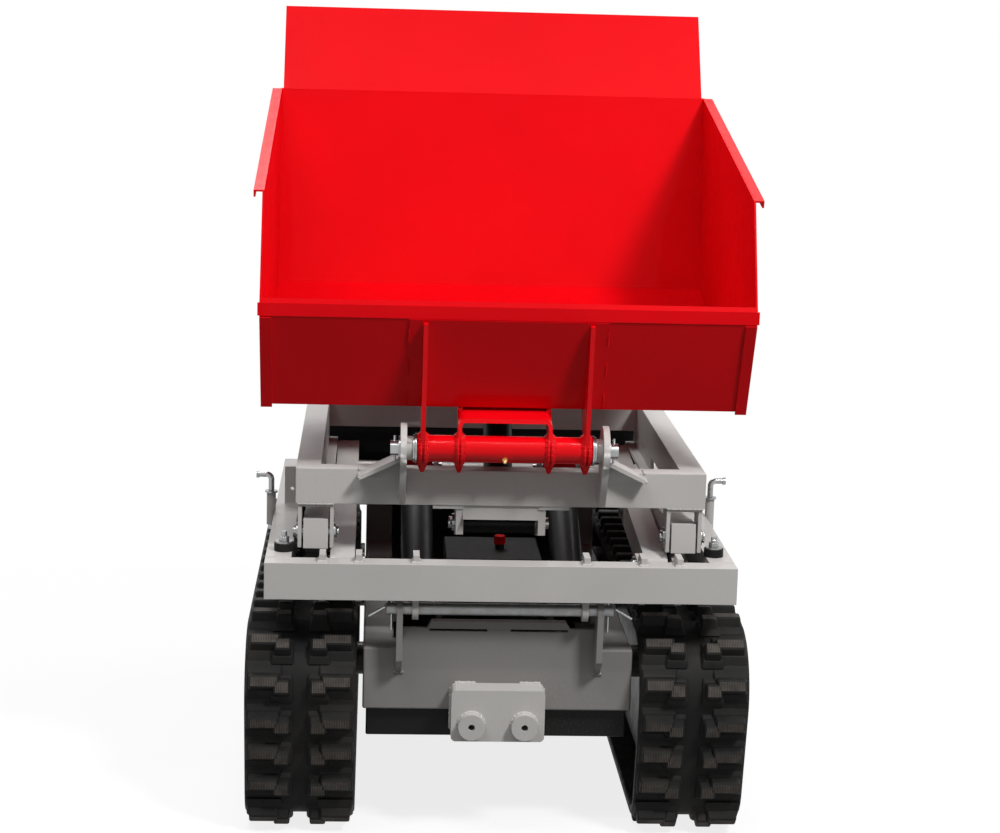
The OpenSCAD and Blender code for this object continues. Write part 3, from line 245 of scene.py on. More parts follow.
def scaled(colour, k):
    return tuple(min(1.0, c * k) for c in colour)


def paint(name, colour, rough, coat, peel, grime, sheen=0.22):
    """Sprayed paint: cloudy tone, orange peel, lighter edges (paint worn there, and a painted edge highlight) and
    a little dust.
    """
    material, tree, shader, coords = started(name)
    cloud = noise(tree, coords, 5.0, 4.0)
    speck = noise(tree, coords, 260.0, 2.0)
    tone = blended(tree, between(tree, cloud, 0.3, 0.7), scaled(colour, 0.95), scaled(colour, 1.05))
    dirt = between(tree, calculated(tree, "MULTIPLY", cloud, speck), 0.30, 0.46, 0.0, grime)
    tone = blended(tree, dirt, tone, (0.10, 0.088, 0.075))
    # Bevel faces are lightened: partly worn paint, partly a painted edge highlight.
    edge_wear_and_highlight = between(tree, speck, 0.35, 0.75, 0.0, 0.3)
    edge = calculated(tree, "MULTIPLY", face_value(tree, "edge"), edge_wear_and_highlight)
    tone = blended(tree, edge, tone, [min(1.0, 1.15 * c + 0.01) for c in colour])
    tree.links.new(tone, shader.inputs["Base Color"])
    gloss = between(tree, noise(tree, coords, 38.0, 5.0), 0.25, 0.75, rough * 0.86, rough * 1.16)
    tree.links.new(gloss, shader.inputs["Roughness"])
    shader.inputs["Specular IOR Level"].default_value = sheen
    shader.inputs["Coat Weight"].default_value = coat
    shader.inputs["Coat Roughness"].default_value = 0.05
    bumped(tree, shader, noise(tree, coords, 420.0, 1.5), peel, 0.0004)
    return material


def plated(name, colour, rough, stain):
    """Plated or turned metal: cloudy plating, fine scratches and some staining."""
    material, tree, shader, coords = started(name)
    cloud = noise(tree, coords, 60.0, 4.0)
    tone = blended(tree, between(tree, cloud, 0.3, 0.7), scaled(colour, 0.82), scaled(colour, 1.08))
    spots = between(tree, noise(tree, coords, 150.0, 6.0), 0.52, 0.72, 0.0, stain)
    tone = blended(tree, spots, tone, (0.20, 0.17, 0.13))
    tree.links.new(tone, shader.inputs["Base Color"])
    shader.inputs["Metallic"].default_value = 1.0
    fine = noise(tree, coords, 900.0, 2.0, stretch=(0.08, 1.0, 1.0))
    gloss = between(tree, fine, 0.3, 0.7, rough * 0.75, rough * 1.35)
    tree.links.new(gloss, shader.inputs["Roughness"])
    bumped(tree, shader, fine, 0.12, 0.0003)
    return material


def moulded(name, colour, dust):
    """Moulded rubber: mottled black, with greyed, finely ribbed lug tips."""
    material, tree, shader, coords = started(name)
    mottle = noise(tree, coords, 30.0, 5.0)
    tone = blended(tree, between(tree, mottle, 0.3, 0.75), scaled(colour, 0.7), scaled(colour, 1.55))
    film = between(tree, noise(tree, coords, 9.0, 6.0), 0.45, 0.75, 0.0, 0.28)
    tone = blended(tree, film, tone, scaled(dust, 0.55))
    ribs = tree.nodes.new("ShaderNodeTexWave")
    ribs.bands_direction = "X"
    ribs.inputs["Scale"].default_value = 118.0
    ribs.inputs["Distortion"].default_value = 1.2
    ribs.inputs["Detail"].default_value = 2.0
    tree.links.new(coords, ribs.inputs["Vector"])
    lines = between(tree, ribs.outputs["Fac"], 0.15, 0.85, 0.25, 1.0)
    rub = calculated(tree, "MULTIPLY", face_value(tree, "tip"), lines)
    patchy = between(tree, noise(tree, coords, 70.0, 4.0), 0.3, 0.7, 0.45, 1.0)
    worn = calculated(tree, "MULTIPLY", rub, patchy)
    tree.links.new(blended(tree, worn, tone, dust), shader.inputs["Base Color"])
    tree.links.new(between(tree, mottle, 0.3, 0.7, 0.52, 0.74), shader.inputs["Roughness"])
    shader.inputs["Specular IOR Level"].default_value = 0.13
    ridges = calculated(tree, "MULTIPLY", rub, 1.5)
    grain = calculated(tree, "ADD", noise(tree, coords, 330.0, 4.0), ridges)
    bumped(tree, shader, grain, 0.35, 0.0008)
    return material


def cast(name, colour, rough):
    """Painted castings and pressings: grainy, with dull dust in the clouds; bevelled edges are drawn toward a mid
    grey, a painted edge highlight on the black ones.
    """
    material, tree, shader, coords = started(name)
    cloud = noise(tree, coords, 14.0, 5.0)
    tone = blended(tree, between(tree, cloud, 0.3, 0.7), scaled(colour, 0.75), scaled(colour, 1.5))
    # Bevel faces drawn toward a mid grey: painted edge highlight on the black castings and plastic.
    edge = calculated(tree, "MULTIPLY", face_value(tree, "edge"), 0.22)
    tone = blended(tree, edge, tone, (0.10, 0.10, 0.10))
    tree.links.new(tone, shader.inputs["Base Color"])
    gloss = between(tree, cloud, 0.3, 0.7, rough * 0.85, rough * 1.2)
    tree.links.new(gloss, shader.inputs["Roughness"])
    bumped(tree, shader, noise(tree, coords, 240.0, 5.0), 0.18, 0.0009)
    return material


def finish(key):
    return bpy.data.materials[key]


# Mesh helpers

def once(items):
    """The items in their order, each of them once."""
    return list(dict.fromkeys(items))


def cad_copy(node):
    """The node's mesh with its triangles joined and its flat faces made whole."""
    bm = bmesh.new()
    bm.from_mesh(frame["nodes"][node].data)
    bmesh.ops.remove_doubles(bm, verts=bm.verts, dist=2e-5)
    bmesh.ops.dissolve_limit(bm, angle_limit=math.radians(0.6), use_dissolve_boundaries=False,
                             verts=bm.verts, edges=bm.edges)
    return bm


def softened(bm, rules):
    """Rounds convex edges: each rule is a radius, the least width of both faces, and segments."""
    # Marks the bevel faces in the edge layer; the finishes paint their edge highlight there.
    layer = bm.faces.layers.float.new("edge")
    for radius, width, segments in rules:
        chosen = []
        for e in bm.edges:
            if len(e.link_faces) != 2 or not e.is_convex or e.calc_face_angle() < math.radians(30):
                continue
            length = e.calc_length()
            if length < 2.5 * radius or any(f[layer] for f in e.link_faces):
                continue
            if min(f.calc_area() for f in e.link_faces) / length >= width:
                chosen.append(e)
        made = bmesh.ops.bevel(bm, geom=chosen, offset=radius, offset_type="OFFSET", segments=segments,
                               profile=0.5, affect="EDGES", clamp_overlap=True, material=-1)
        for f in made["faces"]:
            f[layer] = 1.0
    return bm


def placed(name, bm, body, material, sharp=32.0):
    """Makes a piece of the mesh, with even normals, riding on a body."""
    mesh = bpy.data.meshes.new(name)
    bm.to_mesh(mesh)
    bm.free()
    mesh.shade_smooth()
    mesh.set_sharp_from_angle(angle=math.radians(sharp))
    mesh.materials.append(material)
    piece = bpy.data.objects.new(name, mesh)
    bpy.context.scene.collection.objects.link(piece)
    even = piece.modifiers.new("Even normals", "WEIGHTED_NORMAL")
    even.keep_sharp = True
    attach(piece, body)
    return piece


def dressed(node, material, rules, sharp=32.0):
    """Replaces a CAD node by its softened copy."""
    bm = softened(cad_copy(node), rules)
    piece = placed(node + "_dressed", bm, body_of[node], material, sharp)
    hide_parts(node)
    return piece


def carried(nodes, material):
    """Gives CAD nodes that stay as they are their finish."""
    for node in nodes:
        mesh = frame["nodes"][node].data
        mesh.materials.clear()
        mesh.materials.append(material)


def drop(bm, place, radius):
    bmesh.ops.create_icosphere(bm, subdivisions=1, radius=radius, matrix=Matrix.Translation(place))


def bead_run(bm, start, end, radius, last=None):
    """Overlapping weld drops between two points, growing or thinning to the last radius."""
    start, end = Vector(start), Vector(end)
    last = radius if last is None else last
    steps = max(1, round((end - start).length / (0.42 * (radius + last))))
    for i in range(steps + 1):
        part = i / steps
        wobble = 1.0 + 0.10 * math.sin(2.3 * i) + 0.06 * math.sin(5.1 * i)
        drop(bm, start.lerp(end, part), (radius + part * (last - radius)) * wobble)


def both_sides(bm, start, end, radius, last=None):
    """The same run of drops on the left and on the right."""
    for side in (-1, 1):
        mirror = Vector((side, 1, 1))
        bead_run(bm, Vector(start) * mirror, Vector(end) * mirror, radius, last)


def bead_ring(bm, centre, axis, ring, radius, start=0.0, turn=360.0):
    """Weld drops round an axis, X or Y, through the centre; start and turn are in degrees."""
    steps = max(3, round(math.radians(turn) * ring / (0.85 * radius)))
    for i in range(steps + 1):
        a = math.radians(start + turn * i / steps)
        arm = Vector((0, math.cos(a), math.sin(a)))
        if axis == "Y":
            arm = Vector((math.cos(a), 0, math.sin(a)))
        wobble = 1.0 + 0.10 * math.sin(2.3 * i)
        drop(bm, Vector(centre) + ring * arm, radius * wobble)


def rod(bm, start, end, radius, sides=12):
    start, end = Vector(start), Vector(end)
    along = end - start
    turn = along.to_track_quat("Z", "Y").to_matrix().to_4x4()
    place = Matrix.Translation((start + end) / 2) @ turn
    bmesh.ops.create_cone(bm, cap_ends=True, segments=sides, radius1=radius, radius2=radius,
                          depth=along.length, matrix=place)


# Track path

def track_path():
    """Wheels round the belt's inside: centre in the side view and radius."""
    def radius(node):
        low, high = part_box(node)
        return (high.z - low.z) / 2 + 0.3 * MM
    big, small = radius("idler_left"), radius("roller_left_1")
    return [(idler.y, idler.z, big), (sprocket.y, sprocket.z, big),
            (rear_roller.y, rear_roller.z, small), (front_roller.y, front_roller.z, small)]


class BeltPath:
    """The belt's middle line, measured from the front of the idler over the top."""

    def __init__(self, wheels, half):
        self.wheels, self.half = wheels, half
        self.pieces = []
        normals, runs = [], []
        count = len(wheels)
        for i in range(count):
            (y0, z0, r0), (y1, z1, r1) = wheels[i], wheels[(i + 1) % count]
            gap = math.hypot(y1 - y0, z1 - z0)
            normals.append(math.atan2(z1 - z0, y1 - y0) + math.acos((r0 - r1) / gap))
            runs.append(math.sqrt(gap ** 2 - (r0 - r1) ** 2))
        for i in range(count):
            wrap = (normals[i - 1] - normals[i]) % (2 * math.pi)
            self.pieces.append((i, True, normals[i - 1], wrap * (wheels[i][2] + half)))
            self.pieces.append((i, False, normals[i], runs[i]))
        self.length = sum(p[3] for p in self.pieces)

    def at(self, s):
        """Place on the belt: row-frame matrix whose Y runs along the belt and Z points out."""
        s %= self.length
        for i, arc, angle, length in self.pieces:
            if s <= length:
                break
            s -= length
        y, z, r = self.wheels[i]
        a = angle - s / (r + self.half) if arc else angle
        y += (r + self.half) * math.cos(a)
        z += (r + self.half) * math.sin(a)
        if not arc:
            y += s * math.sin(a)
            z -= s * math.cos(a)
        return Matrix.Translation((0, y, z)) @ Matrix.Rotation(a - math.pi / 2, 4, "X")

    def stations(self):
        """Distances at which the belt's section is set, close together on the arcs."""
        start, found = 0.0, []
        for _, arc, _, length in self.pieces:
            steps = max(2, round(length / (14 * MM))) if arc else 4
            found += [start + length * k / steps for k in range(steps)]
            start += length
        return found


def belt_section(bm, width, thick):
    """Rounded section of the belt, as a ring of edges in the X-Z plane."""
    verts = bmesh.ops.create_grid(bm, x_segments=1, y_segments=1, size=0.5)["verts"]
    bmesh.ops.scale(bm, vec=(width, thick, 1), verts=verts)
    bmesh.ops.rotate(bm, cent=(0, 0, 0), matrix=Matrix.Rotation(math.pi / 2, 3, "X"), verts=verts)
    bmesh.ops.bevel(bm, geom=verts, offset=5 * MM, offset_type="OFFSET", segments=3,
                    profile=0.5, affect="VERTICES", material=-1)
    bmesh.ops.delete(bm, geom=list(bm.faces), context="FACES_ONLY")
    return list(bm.edges)


def swept_belt(bm, path, width, thick):
    """The belt's section carried once round its path and closed."""
    ring = belt_section(bm, width, thick)
    stations = path.stations()
    first = last = path.at(stations[0])
    bmesh.ops.transform(bm, matrix=first, verts=once(v for e in ring for v in e.verts))
    for station in stations[1:] + [path.length]:
        here = path.at(station) if station < path.length else first
        made = bmesh.ops.extrude_edge_only(bm, edges=ring)["geom"]
        ring = [e for e in made if isinstance(e, bmesh.types.BMEdge)]
        verts = [v for v in made if isinstance(v, bmesh.types.BMVert)]
        bmesh.ops.transform(bm, matrix=here @ last.inverted(), verts=verts)
        last = here
    bmesh.ops.remove_doubles(bm, verts=bm.verts, dist=1e-5)
    bmesh.ops.recalc_face_normals(bm, faces=bm.faces)


def tapered_lug(bm, x0, x1, base, tip, low, high, shift, rounding, tip_layer):
    """One moulded lug at the origin; its outer end takes the tip value."""
    draft = 2 * MM
    before = set(bm.faces)
    verts = bmesh.ops.create_cube(bm, size=1)["verts"]
    for v in verts:
        upper = v.co.z > 0
        wide = x1 - x0 - (2 * draft if upper else 0.0)
        v.co = Vector(((x0 + x1) / 2 + v.co.x * wide, shift + v.co.y * (tip if upper else base),
                       high if upper else low))
    edges = once(e for v in verts for e in v.link_edges)
    outer = [e for e in edges if max(v.co.z for v in e.verts) > (low + high) / 2]
    bmesh.ops.bevel(bm, geom=outer, offset=rounding, offset_type="OFFSET", segments=1,
                    profile=0.5, affect="EDGES", clamp_overlap=True, material=-1)
    faces = [f for f in bm.faces if f not in before]
    for f in faces:
        f[tip_layer] = 1.0 if min(v.co.z for v in f.verts) > high - 0.3 * MM else 0.0
    return faces


def lug_row(bm, sizes, tip_layer):
    """One row at the origin: on each half an outer bar and a short one a step behind, both on
    flared feet, and a guide lug inside the belt."""
    face, sink, step = sizes.belt / 2, 3 * MM, -9 * MM
    outer = (33 * MM, sizes.track_width / 2 - 6 * MM)
    inner, guide = (15 * MM, 44 * MM), (21 * MM, 41 * MM)
    foot, flare = 6 * MM, 4 * MM
    for mirror in (1, -1):
        def lug(ends, base, tip, height, shift=0.0, spread=0.0):
            x0, x1 = sorted((mirror * (ends[0] - spread), mirror * (ends[1] + spread)))
            return tapered_lug(bm, x0, x1, base, tip, face - sink, face + height, shift,
                               sizes.lug_round, tip_layer)
        lug(outer, 34 * MM, 19 * MM, sizes.lug)
        lug(inner, 36 * MM, 21 * MM, sizes.lug, step)
        feet = lug(outer, 54 * MM, 30 * MM, foot, 0.0, flare)
        feet += lug(inner, 50 * MM, 32 * MM, foot, step, flare)
        inside = lug(guide, 30 * MM, 16 * MM, 18 * MM)
        bmesh.ops.rotate(bm, cent=(0, 0, 0), matrix=Matrix.Rotation(math.pi, 3, "Y"),
                         verts=once(v for f in inside for v in f.verts))
        for f in feet + inside:
            f[tip_layer] = 0.0


class CARRIER_OT_finishes(bpy.types.Operator):
    """Makes the paints, the plating, the rubber and the cast finishes"""

    bl_idname = "carrier.finishes"
    bl_label = "Finishes"

    def execute(self, context):
        c = context.scene.carrier_colours
        red, black, zinc = tuple(c.skip_red), tuple(c.machine_black), tuple(c.zinc)
        steel, burnt, iron = (0.72, 0.73, 0.75), (0.16, 0.145, 0.135), (0.16, 0.16, 0.165)
        paint("skip paint", red, rough=0.36, coat=0.05, peel=0.03, grime=0.0, sheen=0.04)
        paint("hinge paint", red, rough=0.30, coat=0.14, peel=0.02, grime=0.0, sheen=0.05)
        paint("frame paint", tuple(c.frame_grey), rough=0.42, coat=0.15, peel=0.08, grime=0.08)
        # The chassis paint's darker grey is painted shade.
        paint("chassis paint with painted shade", tuple(c.chassis_shade_grey), rough=0.46, coat=0.10, peel=0.08, grime=0.15)
        paint("black paint", black, rough=0.42, coat=0.03, peel=0.10, grime=0.12, sheen=0.10)
        plated("zinc plating", zinc, rough=0.26, stain=0.25)
        plated("dull shaft", scaled(zinc, 0.62), rough=0.45, stain=0.8)
        plated("polished rod", steel, rough=0.10, stain=0.05)
        plated("brass", tuple(c.brass), rough=0.28, stain=0.1)
        plated("exhaust steel", burnt, rough=0.5, stain=0.8)
        moulded("track rubber", tuple(c.rubber), dust=tuple(c.lug_dust))
        cast("engine casting", black, rough=0.5)
        cast("grey casting", iron, rough=0.52)
        cast("black plastic", scaled(black, 1.2), rough=0.45)
        return {"FINISHED"}


class CARRIER_OT_frames(bpy.types.Operator):
    """Welded grey frames with rounded beams and broken plate edges"""

    bl_idname = "carrier.frames"
    bl_label = "Frames"

    def execute(self, context):
        s = context.scene.carrier_sizes
        rules = [(s.beam_round, 24 * MM, 3), (s.plate_round, 5 * MM, 2)]
        for node in ("front_hitch", "base_frame", "upper_frame", "inner_arms", "outer_arms"):
            dressed(node, finish("frame paint"), rules)
        dressed("chassis_frame", finish("chassis paint with painted shade"), rules)
        dressed("console", finish("frame paint"), [(2 * MM, 20 * MM, 3), (s.plate_round, 5 * MM, 2)])
        carried(("track_frame_left", "track_frame_right"), finish("black paint"))
        return {"FINISHED"}


class CARRIER_OT_skip(bpy.types.Operator):
    """Red folded skip and its welded hinge"""

    bl_idname = "carrier.skip"
    bl_label = "Skip"

    def execute(self, context):
        s = context.scene.carrier_sizes
        dressed("skip", finish("skip paint"), [(s.bend_round, 60 * MM, 4), (0.8 * MM, 2.4 * MM, 2)])
        dressed("skip_hinge_frame", finish("hinge paint"), [(1.6 * MM, 7 * MM, 2)])
        carried(("tank_cap",), finish("skip paint"))
        return {"FINISHED"}


class CARRIER_OT_tracks(bpy.types.Operator):
    """Rubber tracks with moulded lugs and inner guides"""

    bl_idname = "carrier.tracks"
    bl_label = "Tracks"

    def execute(self, context):
        s = context.scene.carrier_sizes
        path = BeltPath(track_path(), s.belt / 2)
        for node in ("track_left", "track_right"):
            bm = bmesh.new()
            tip = bm.faces.layers.float.new("tip")
            swept_belt(bm, path, s.track_width, s.belt)
            belt = set(bm.faces)
            lug_row(bm, s, tip)
            row = [f for f in bm.faces if f not in belt]
            pattern = row + once(e for f in row for e in f.edges)
            pattern += once(v for f in row for v in f.verts)
            for i in range(s.lug_rows):
                made = bmesh.ops.duplicate(bm, geom=pattern)["geom"]
                verts = [v for v in made if isinstance(v, bmesh.types.BMVert)]
                place = path.at(s.lug_start + i * path.length / s.lug_rows)
                bmesh.ops.transform(bm, matrix=place, verts=verts)
            bmesh.ops.delete(bm, geom=row, context="FACES")
            low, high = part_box(node)
            bmesh.ops.translate(bm, vec=((low.x + high.x) / 2, 0, 0), verts=bm.verts)
            piece = placed(node + "_moulded", bm, body_of[node], finish("track rubber"),
                           28.0)
            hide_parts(node)
        carried(("rubber_buffers", "grips"), finish("track rubber"))
        return {"FINISHED"}


class CARRIER_OT_running_gear(bpy.types.Operator):
    """Wheels, rollers, motors and axle bolts"""

    bl_idname = "carrier.running_gear"
    bl_label = "Running gear"

    def execute(self, context):
        wheels = [n for n in frame["nodes"] if n.startswith(("roller_", "idler_", "sprocket_"))]
        carried(wheels + ["lower_rollers", "upper_rollers"], finish("engine casting"))
        dressed("drive_motors", finish("engine casting"), [(1.5 * MM, 6 * MM, 2)])
        dressed("axle_bolts", finish("zinc plating"), [(1.0 * MM, 3 * MM, 2)])
        return {"FINISHED"}


class CARRIER_OT_pins(bpy.types.Operator):
    """Zinc pins, clips, buffers' bolts and rods"""

    bl_idname = "carrier.pins"
    bl_label = "Pins and rods"

    def execute(self, context):
        for node in ("base_pins", "inner_arm_pins", "upper_frame_pins", "skip_pins", "buffer_bolts"):
            dressed(node, finish("zinc plating"), [(1.0 * MM, 2 * MM, 2)])
        carried(("shaft_clips", "lock_pin_left", "lock_pin_right", "tip_eye_pin"),
                finish("zinc plating"))
        carried(("base_pivot_shaft",), finish("dull shaft"))
        carried(("lift_rods", "tip_rod"), finish("polished rod"))
        carried(("lift_barrels", "tip_barrel"), finish("black paint"))
        return {"FINISHED"}


class CARRIER_OT_engine(bpy.types.Operator):
    """Engine, hydraulics, deck, handlebar and levers"""

    bl_idname = "carrier.engine"
    bl_label = "Engine and controls"

    def execute(self, context):
        s = context.scene.carrier_sizes
        soft = [(3 * MM, 16 * MM, 3), (s.plate_round, 4 * MM, 2)]
        for node in ("engine_block", "recoil_cover"):
            dressed(node, finish("engine casting"), soft)
        dressed("fuel_tank", finish("black paint"), [(4 * MM, 16 * MM, 3)])
        dressed("air_filter", finish("black plastic"), soft)
        dressed("muffler", finish("exhaust steel"), [(1.5 * MM, 3 * MM, 2)])
        dressed("hydraulic_pump", finish("grey casting"), [(2 * MM, 10 * MM, 2)])
        dressed("control_valve", finish("grey casting"), [(2 * MM, 10 * MM, 2)])
        for node in ("hydraulic_tank", "belly_guard", "engine_deck"):
            dressed(node, finish("black paint"), [(3 * MM, 20 * MM, 3), (s.plate_round, 3.5 * MM, 2)])
        carried(("handlebar",), finish("black paint"))
        carried([n for n in frame["nodes"] if n.endswith("_lever") or n.startswith("travel_lever")],
                finish("black plastic"))
        return {"FINISHED"}


class CARRIER_OT_welds(bpy.types.Operator):
    """Weld beads where plates, ribs and tubes meet"""

    bl_idname = "carrier.welds"
    bl_label = "Welds"

    def execute(self, context):
        bead = context.scene.carrier_sizes.bead
        for name, node, material, make in (
                ("hinge_welds", "skip_hinge_frame", "hinge paint", self.hinge_welds),
                ("skip_doubler", "skip", "skip paint", self.doubler),
                ("upper_frame_welds", "upper_frame", "frame paint", self.upper_welds),
                ("base_frame_welds", "base_frame", "frame paint", self.base_welds),
                ("chassis_welds", "chassis_frame", "chassis paint with painted shade", self.chassis_welds),
                ("hitch_welds", "front_hitch", "frame paint", self.hitch_welds)):
            bm = bmesh.new()
            make(bm, bead)
            placed(name, bm, body_of[node], finish(material), 60.0)
        return {"FINISHED"}

    @staticmethod
    def hinge_welds(bm, bead):
        """Fillets round the hinge tube on both faces of each rib, run out to the ribs' points."""
        short_rib, long_rib = (69, 75), (127, 134)
        point = Vector((0, math.sin(tip_rest), -math.cos(tip_rest)))
        for low, high in (short_rib, long_rib):
            for side in (-1, 1):
                for x, out in ((low, -1), (high, 1)):
                    foot = hinge + Vector((side * (x + 2.5 * out) * MM, 0, 0))
                    wall = hinge + Vector((side * x * MM, 0, 0))
                    bead_ring(bm, foot, "X", tube_radius - 0.5 * MM, 1.1 * bead, 70, 225)
                    bead_ring(bm, wall, "X", tube_radius + 2.5 * MM, 0.9 * bead, 78, 210)
                    bead_run(bm, foot + point * tube_radius, wall + point * (tube_radius + 15 * MM),
                             1.2 * bead, 0.5 * bead)

    @staticmethod
    def doubler(bm, bead):
        """Plate that backs the ribs on the skip's front wall, stitched along its upright edges."""
        tip = Matrix.Rotation(tip_rest, 3, "X")
        foot = Vector((0, 35, 57.5))
        up, out = Vector((0, -0.2112, 0.9775)), Vector((0, -0.9775, -0.2112))
        wide, tall, middle, thick = 312, 162, 84, 3

        def at(x, along, proud):
            return hinge + tip @ (foot + Vector((x, 0, 0)) + along * up + proud * out) * MM
        for v in bmesh.ops.create_cube(bm, size=1)["verts"]:
            v.co = at(wide * v.co.x, middle + tall * v.co.y, 0.5 + thick * v.co.z)
        bmesh.ops.recalc_face_normals(bm, faces=bm.faces)
        edge = wide / 2 + 0.5
        for x in (-edge, edge):
            for low, high in ((6, 30), (64, 88), (122, 146)):
                bead_run(bm, at(x, low, 1), at(x, high, 1), 0.6 * bead)

    @staticmethod
    def upper_welds(bm, bead):
        """Ears and braces on the front beam, and the tops of the arms' clevises."""
        front, low, top = hinge.y + 42 * MM, hinge.z - 102.5 * MM, hinge.z - 44.5 * MM
        ear, clevis, hangers = (156 * MM, 166 * MM), (272 * MM, 328 * MM), (62 * MM, 110 * MM)
        for x in ear:
            both_sides(bm, (x, front, low + 12 * MM), (x, front, top - 4 * MM), 0.75 * bead)
        x, z = 231 * MM, top - 9 * MM
        both_sides(bm, (x, front - 24 * MM, z), (x, front, z), 0.9 * bead)
        both_sides(bm, (x, front, top), (x, front + 22 * MM, top), 0.7 * bead)
        x, z = ear[1] + MM, top + 24 * MM
        both_sides(bm, (x, front - 24 * MM, z), (x, front + 22 * MM, z), 0.7 * bead)
        y, z = front + 2 * MM, low - MM
        both_sides(bm, (clevis[0], y, z), (clevis[1], y, z), 0.75 * bead)
        for x in hangers:
            both_sides(bm, (x, front + 3 * MM, z), (x, front + 32 * MM, z), 0.5 * bead)

    @staticmethod
    def base_welds(bm, bead):
        """Feet of the lugs that wrap the front beam, and the side rails' joints."""
        top, front, back = shaft.z + 80 * MM, shaft.y - 19 * MM, shaft.y + 9 * MM
        for low, high in ((132, 142), (224, 234), (282, 292)):
            a, b = (low - 1) * MM, (high + 1) * MM
            both_sides(bm, (a, front, top), (b, front, top), 0.95 * bead)
            for x in (a, b):
                both_sides(bm, (x, front, top), (x, back - 2 * MM, top), 0.85 * bead, 0.6 * bead)
        both_sides(bm, (340 * MM, back, top), (377 * MM, back, top), 0.35 * bead)

    @staticmethod
    def chassis_welds(bm, bead):
        """Lower ends and flanks of the gussets that carry the front shaft."""
        front, low, top = shaft.y + 20 * MM, shaft.z - 113 * MM, shaft.z - 72 * MM
        both_sides(bm, (156 * MM, front, low), (168 * MM, front, low), 0.9 * bead)
        for x in (157 * MM, 167 * MM):
            both_sides(bm, (x, front, low), (x, front, top), 0.5 * bead)

    @staticmethod
    def hitch_welds(bm, bead):
        """Stitches round the hitch box and rings round its bosses."""
        low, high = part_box("front_hitch")
        back, seam, short = high.y, 68 * MM, 10 * MM
        both_sides(bm, (high.x, back, low.z + short), (high.x, back, high.z - short), 0.9 * bead)
        both_sides(bm, (38 * MM, back, high.z), (seam, back, high.z), 0.9 * bead)
        edge = high.z - MM
        both_sides(bm, (seam, low.y + 17 * MM, edge), (seam, back, edge), 0.5 * bead)
        for x in (-43 * MM, 43 * MM):
            bead_ring(bm, (x, low.y + 15 * MM, low.z + 28 * MM), "Y", 21.5 * MM, 0.85 * bead)
        bead_run(bm, (low.x + short, back, low.z), (high.x - short, back, low.z), 0.8 * bead)


class CARRIER_OT_hinge_fittings(bpy.types.Operator):
    """Zinc washers at the ends of the hinge tube and the brass grease nipple under its front"""

    bl_idname = "carrier.hinge_fittings"
    bl_label = "Hinge fittings"

    def execute(self, context):
        bm = bmesh.new()
        thick = 2.4 * MM
        for side in (Vector((-1, 0, 0)), Vector((1, 0, 0))):
            for x, radius in ((140.4 * MM, 24 * MM), (143.6 * MM, 22 * MM)):
                rod(bm, hinge + side * x, hinge + side * (x + thick), radius, 40)
        placed("hinge_washers", bm, body_of["upper_frame"], finish("zinc plating"), 40.0)
        bm = bmesh.new()
        out = Vector((0, -0.84, -0.54)).normalized()
        seat = hinge + out * tube_radius
        rod(bm, seat - out * 2 * MM, seat + out * 3 * MM, 4.2 * MM, 6)
        rod(bm, seat + out * 2 * MM, seat + out * 6 * MM, 2.4 * MM, 16)
        bmesh.ops.create_uvsphere(bm, u_segments=16, v_segments=10, radius=3.2 * MM,
                                  matrix=Matrix.Translation(seat + out * 7 * MM))
        placed("grease_nipple", bm, body_of["skip_hinge_frame"], finish("brass"), 40.0)
        return {"FINISHED"}


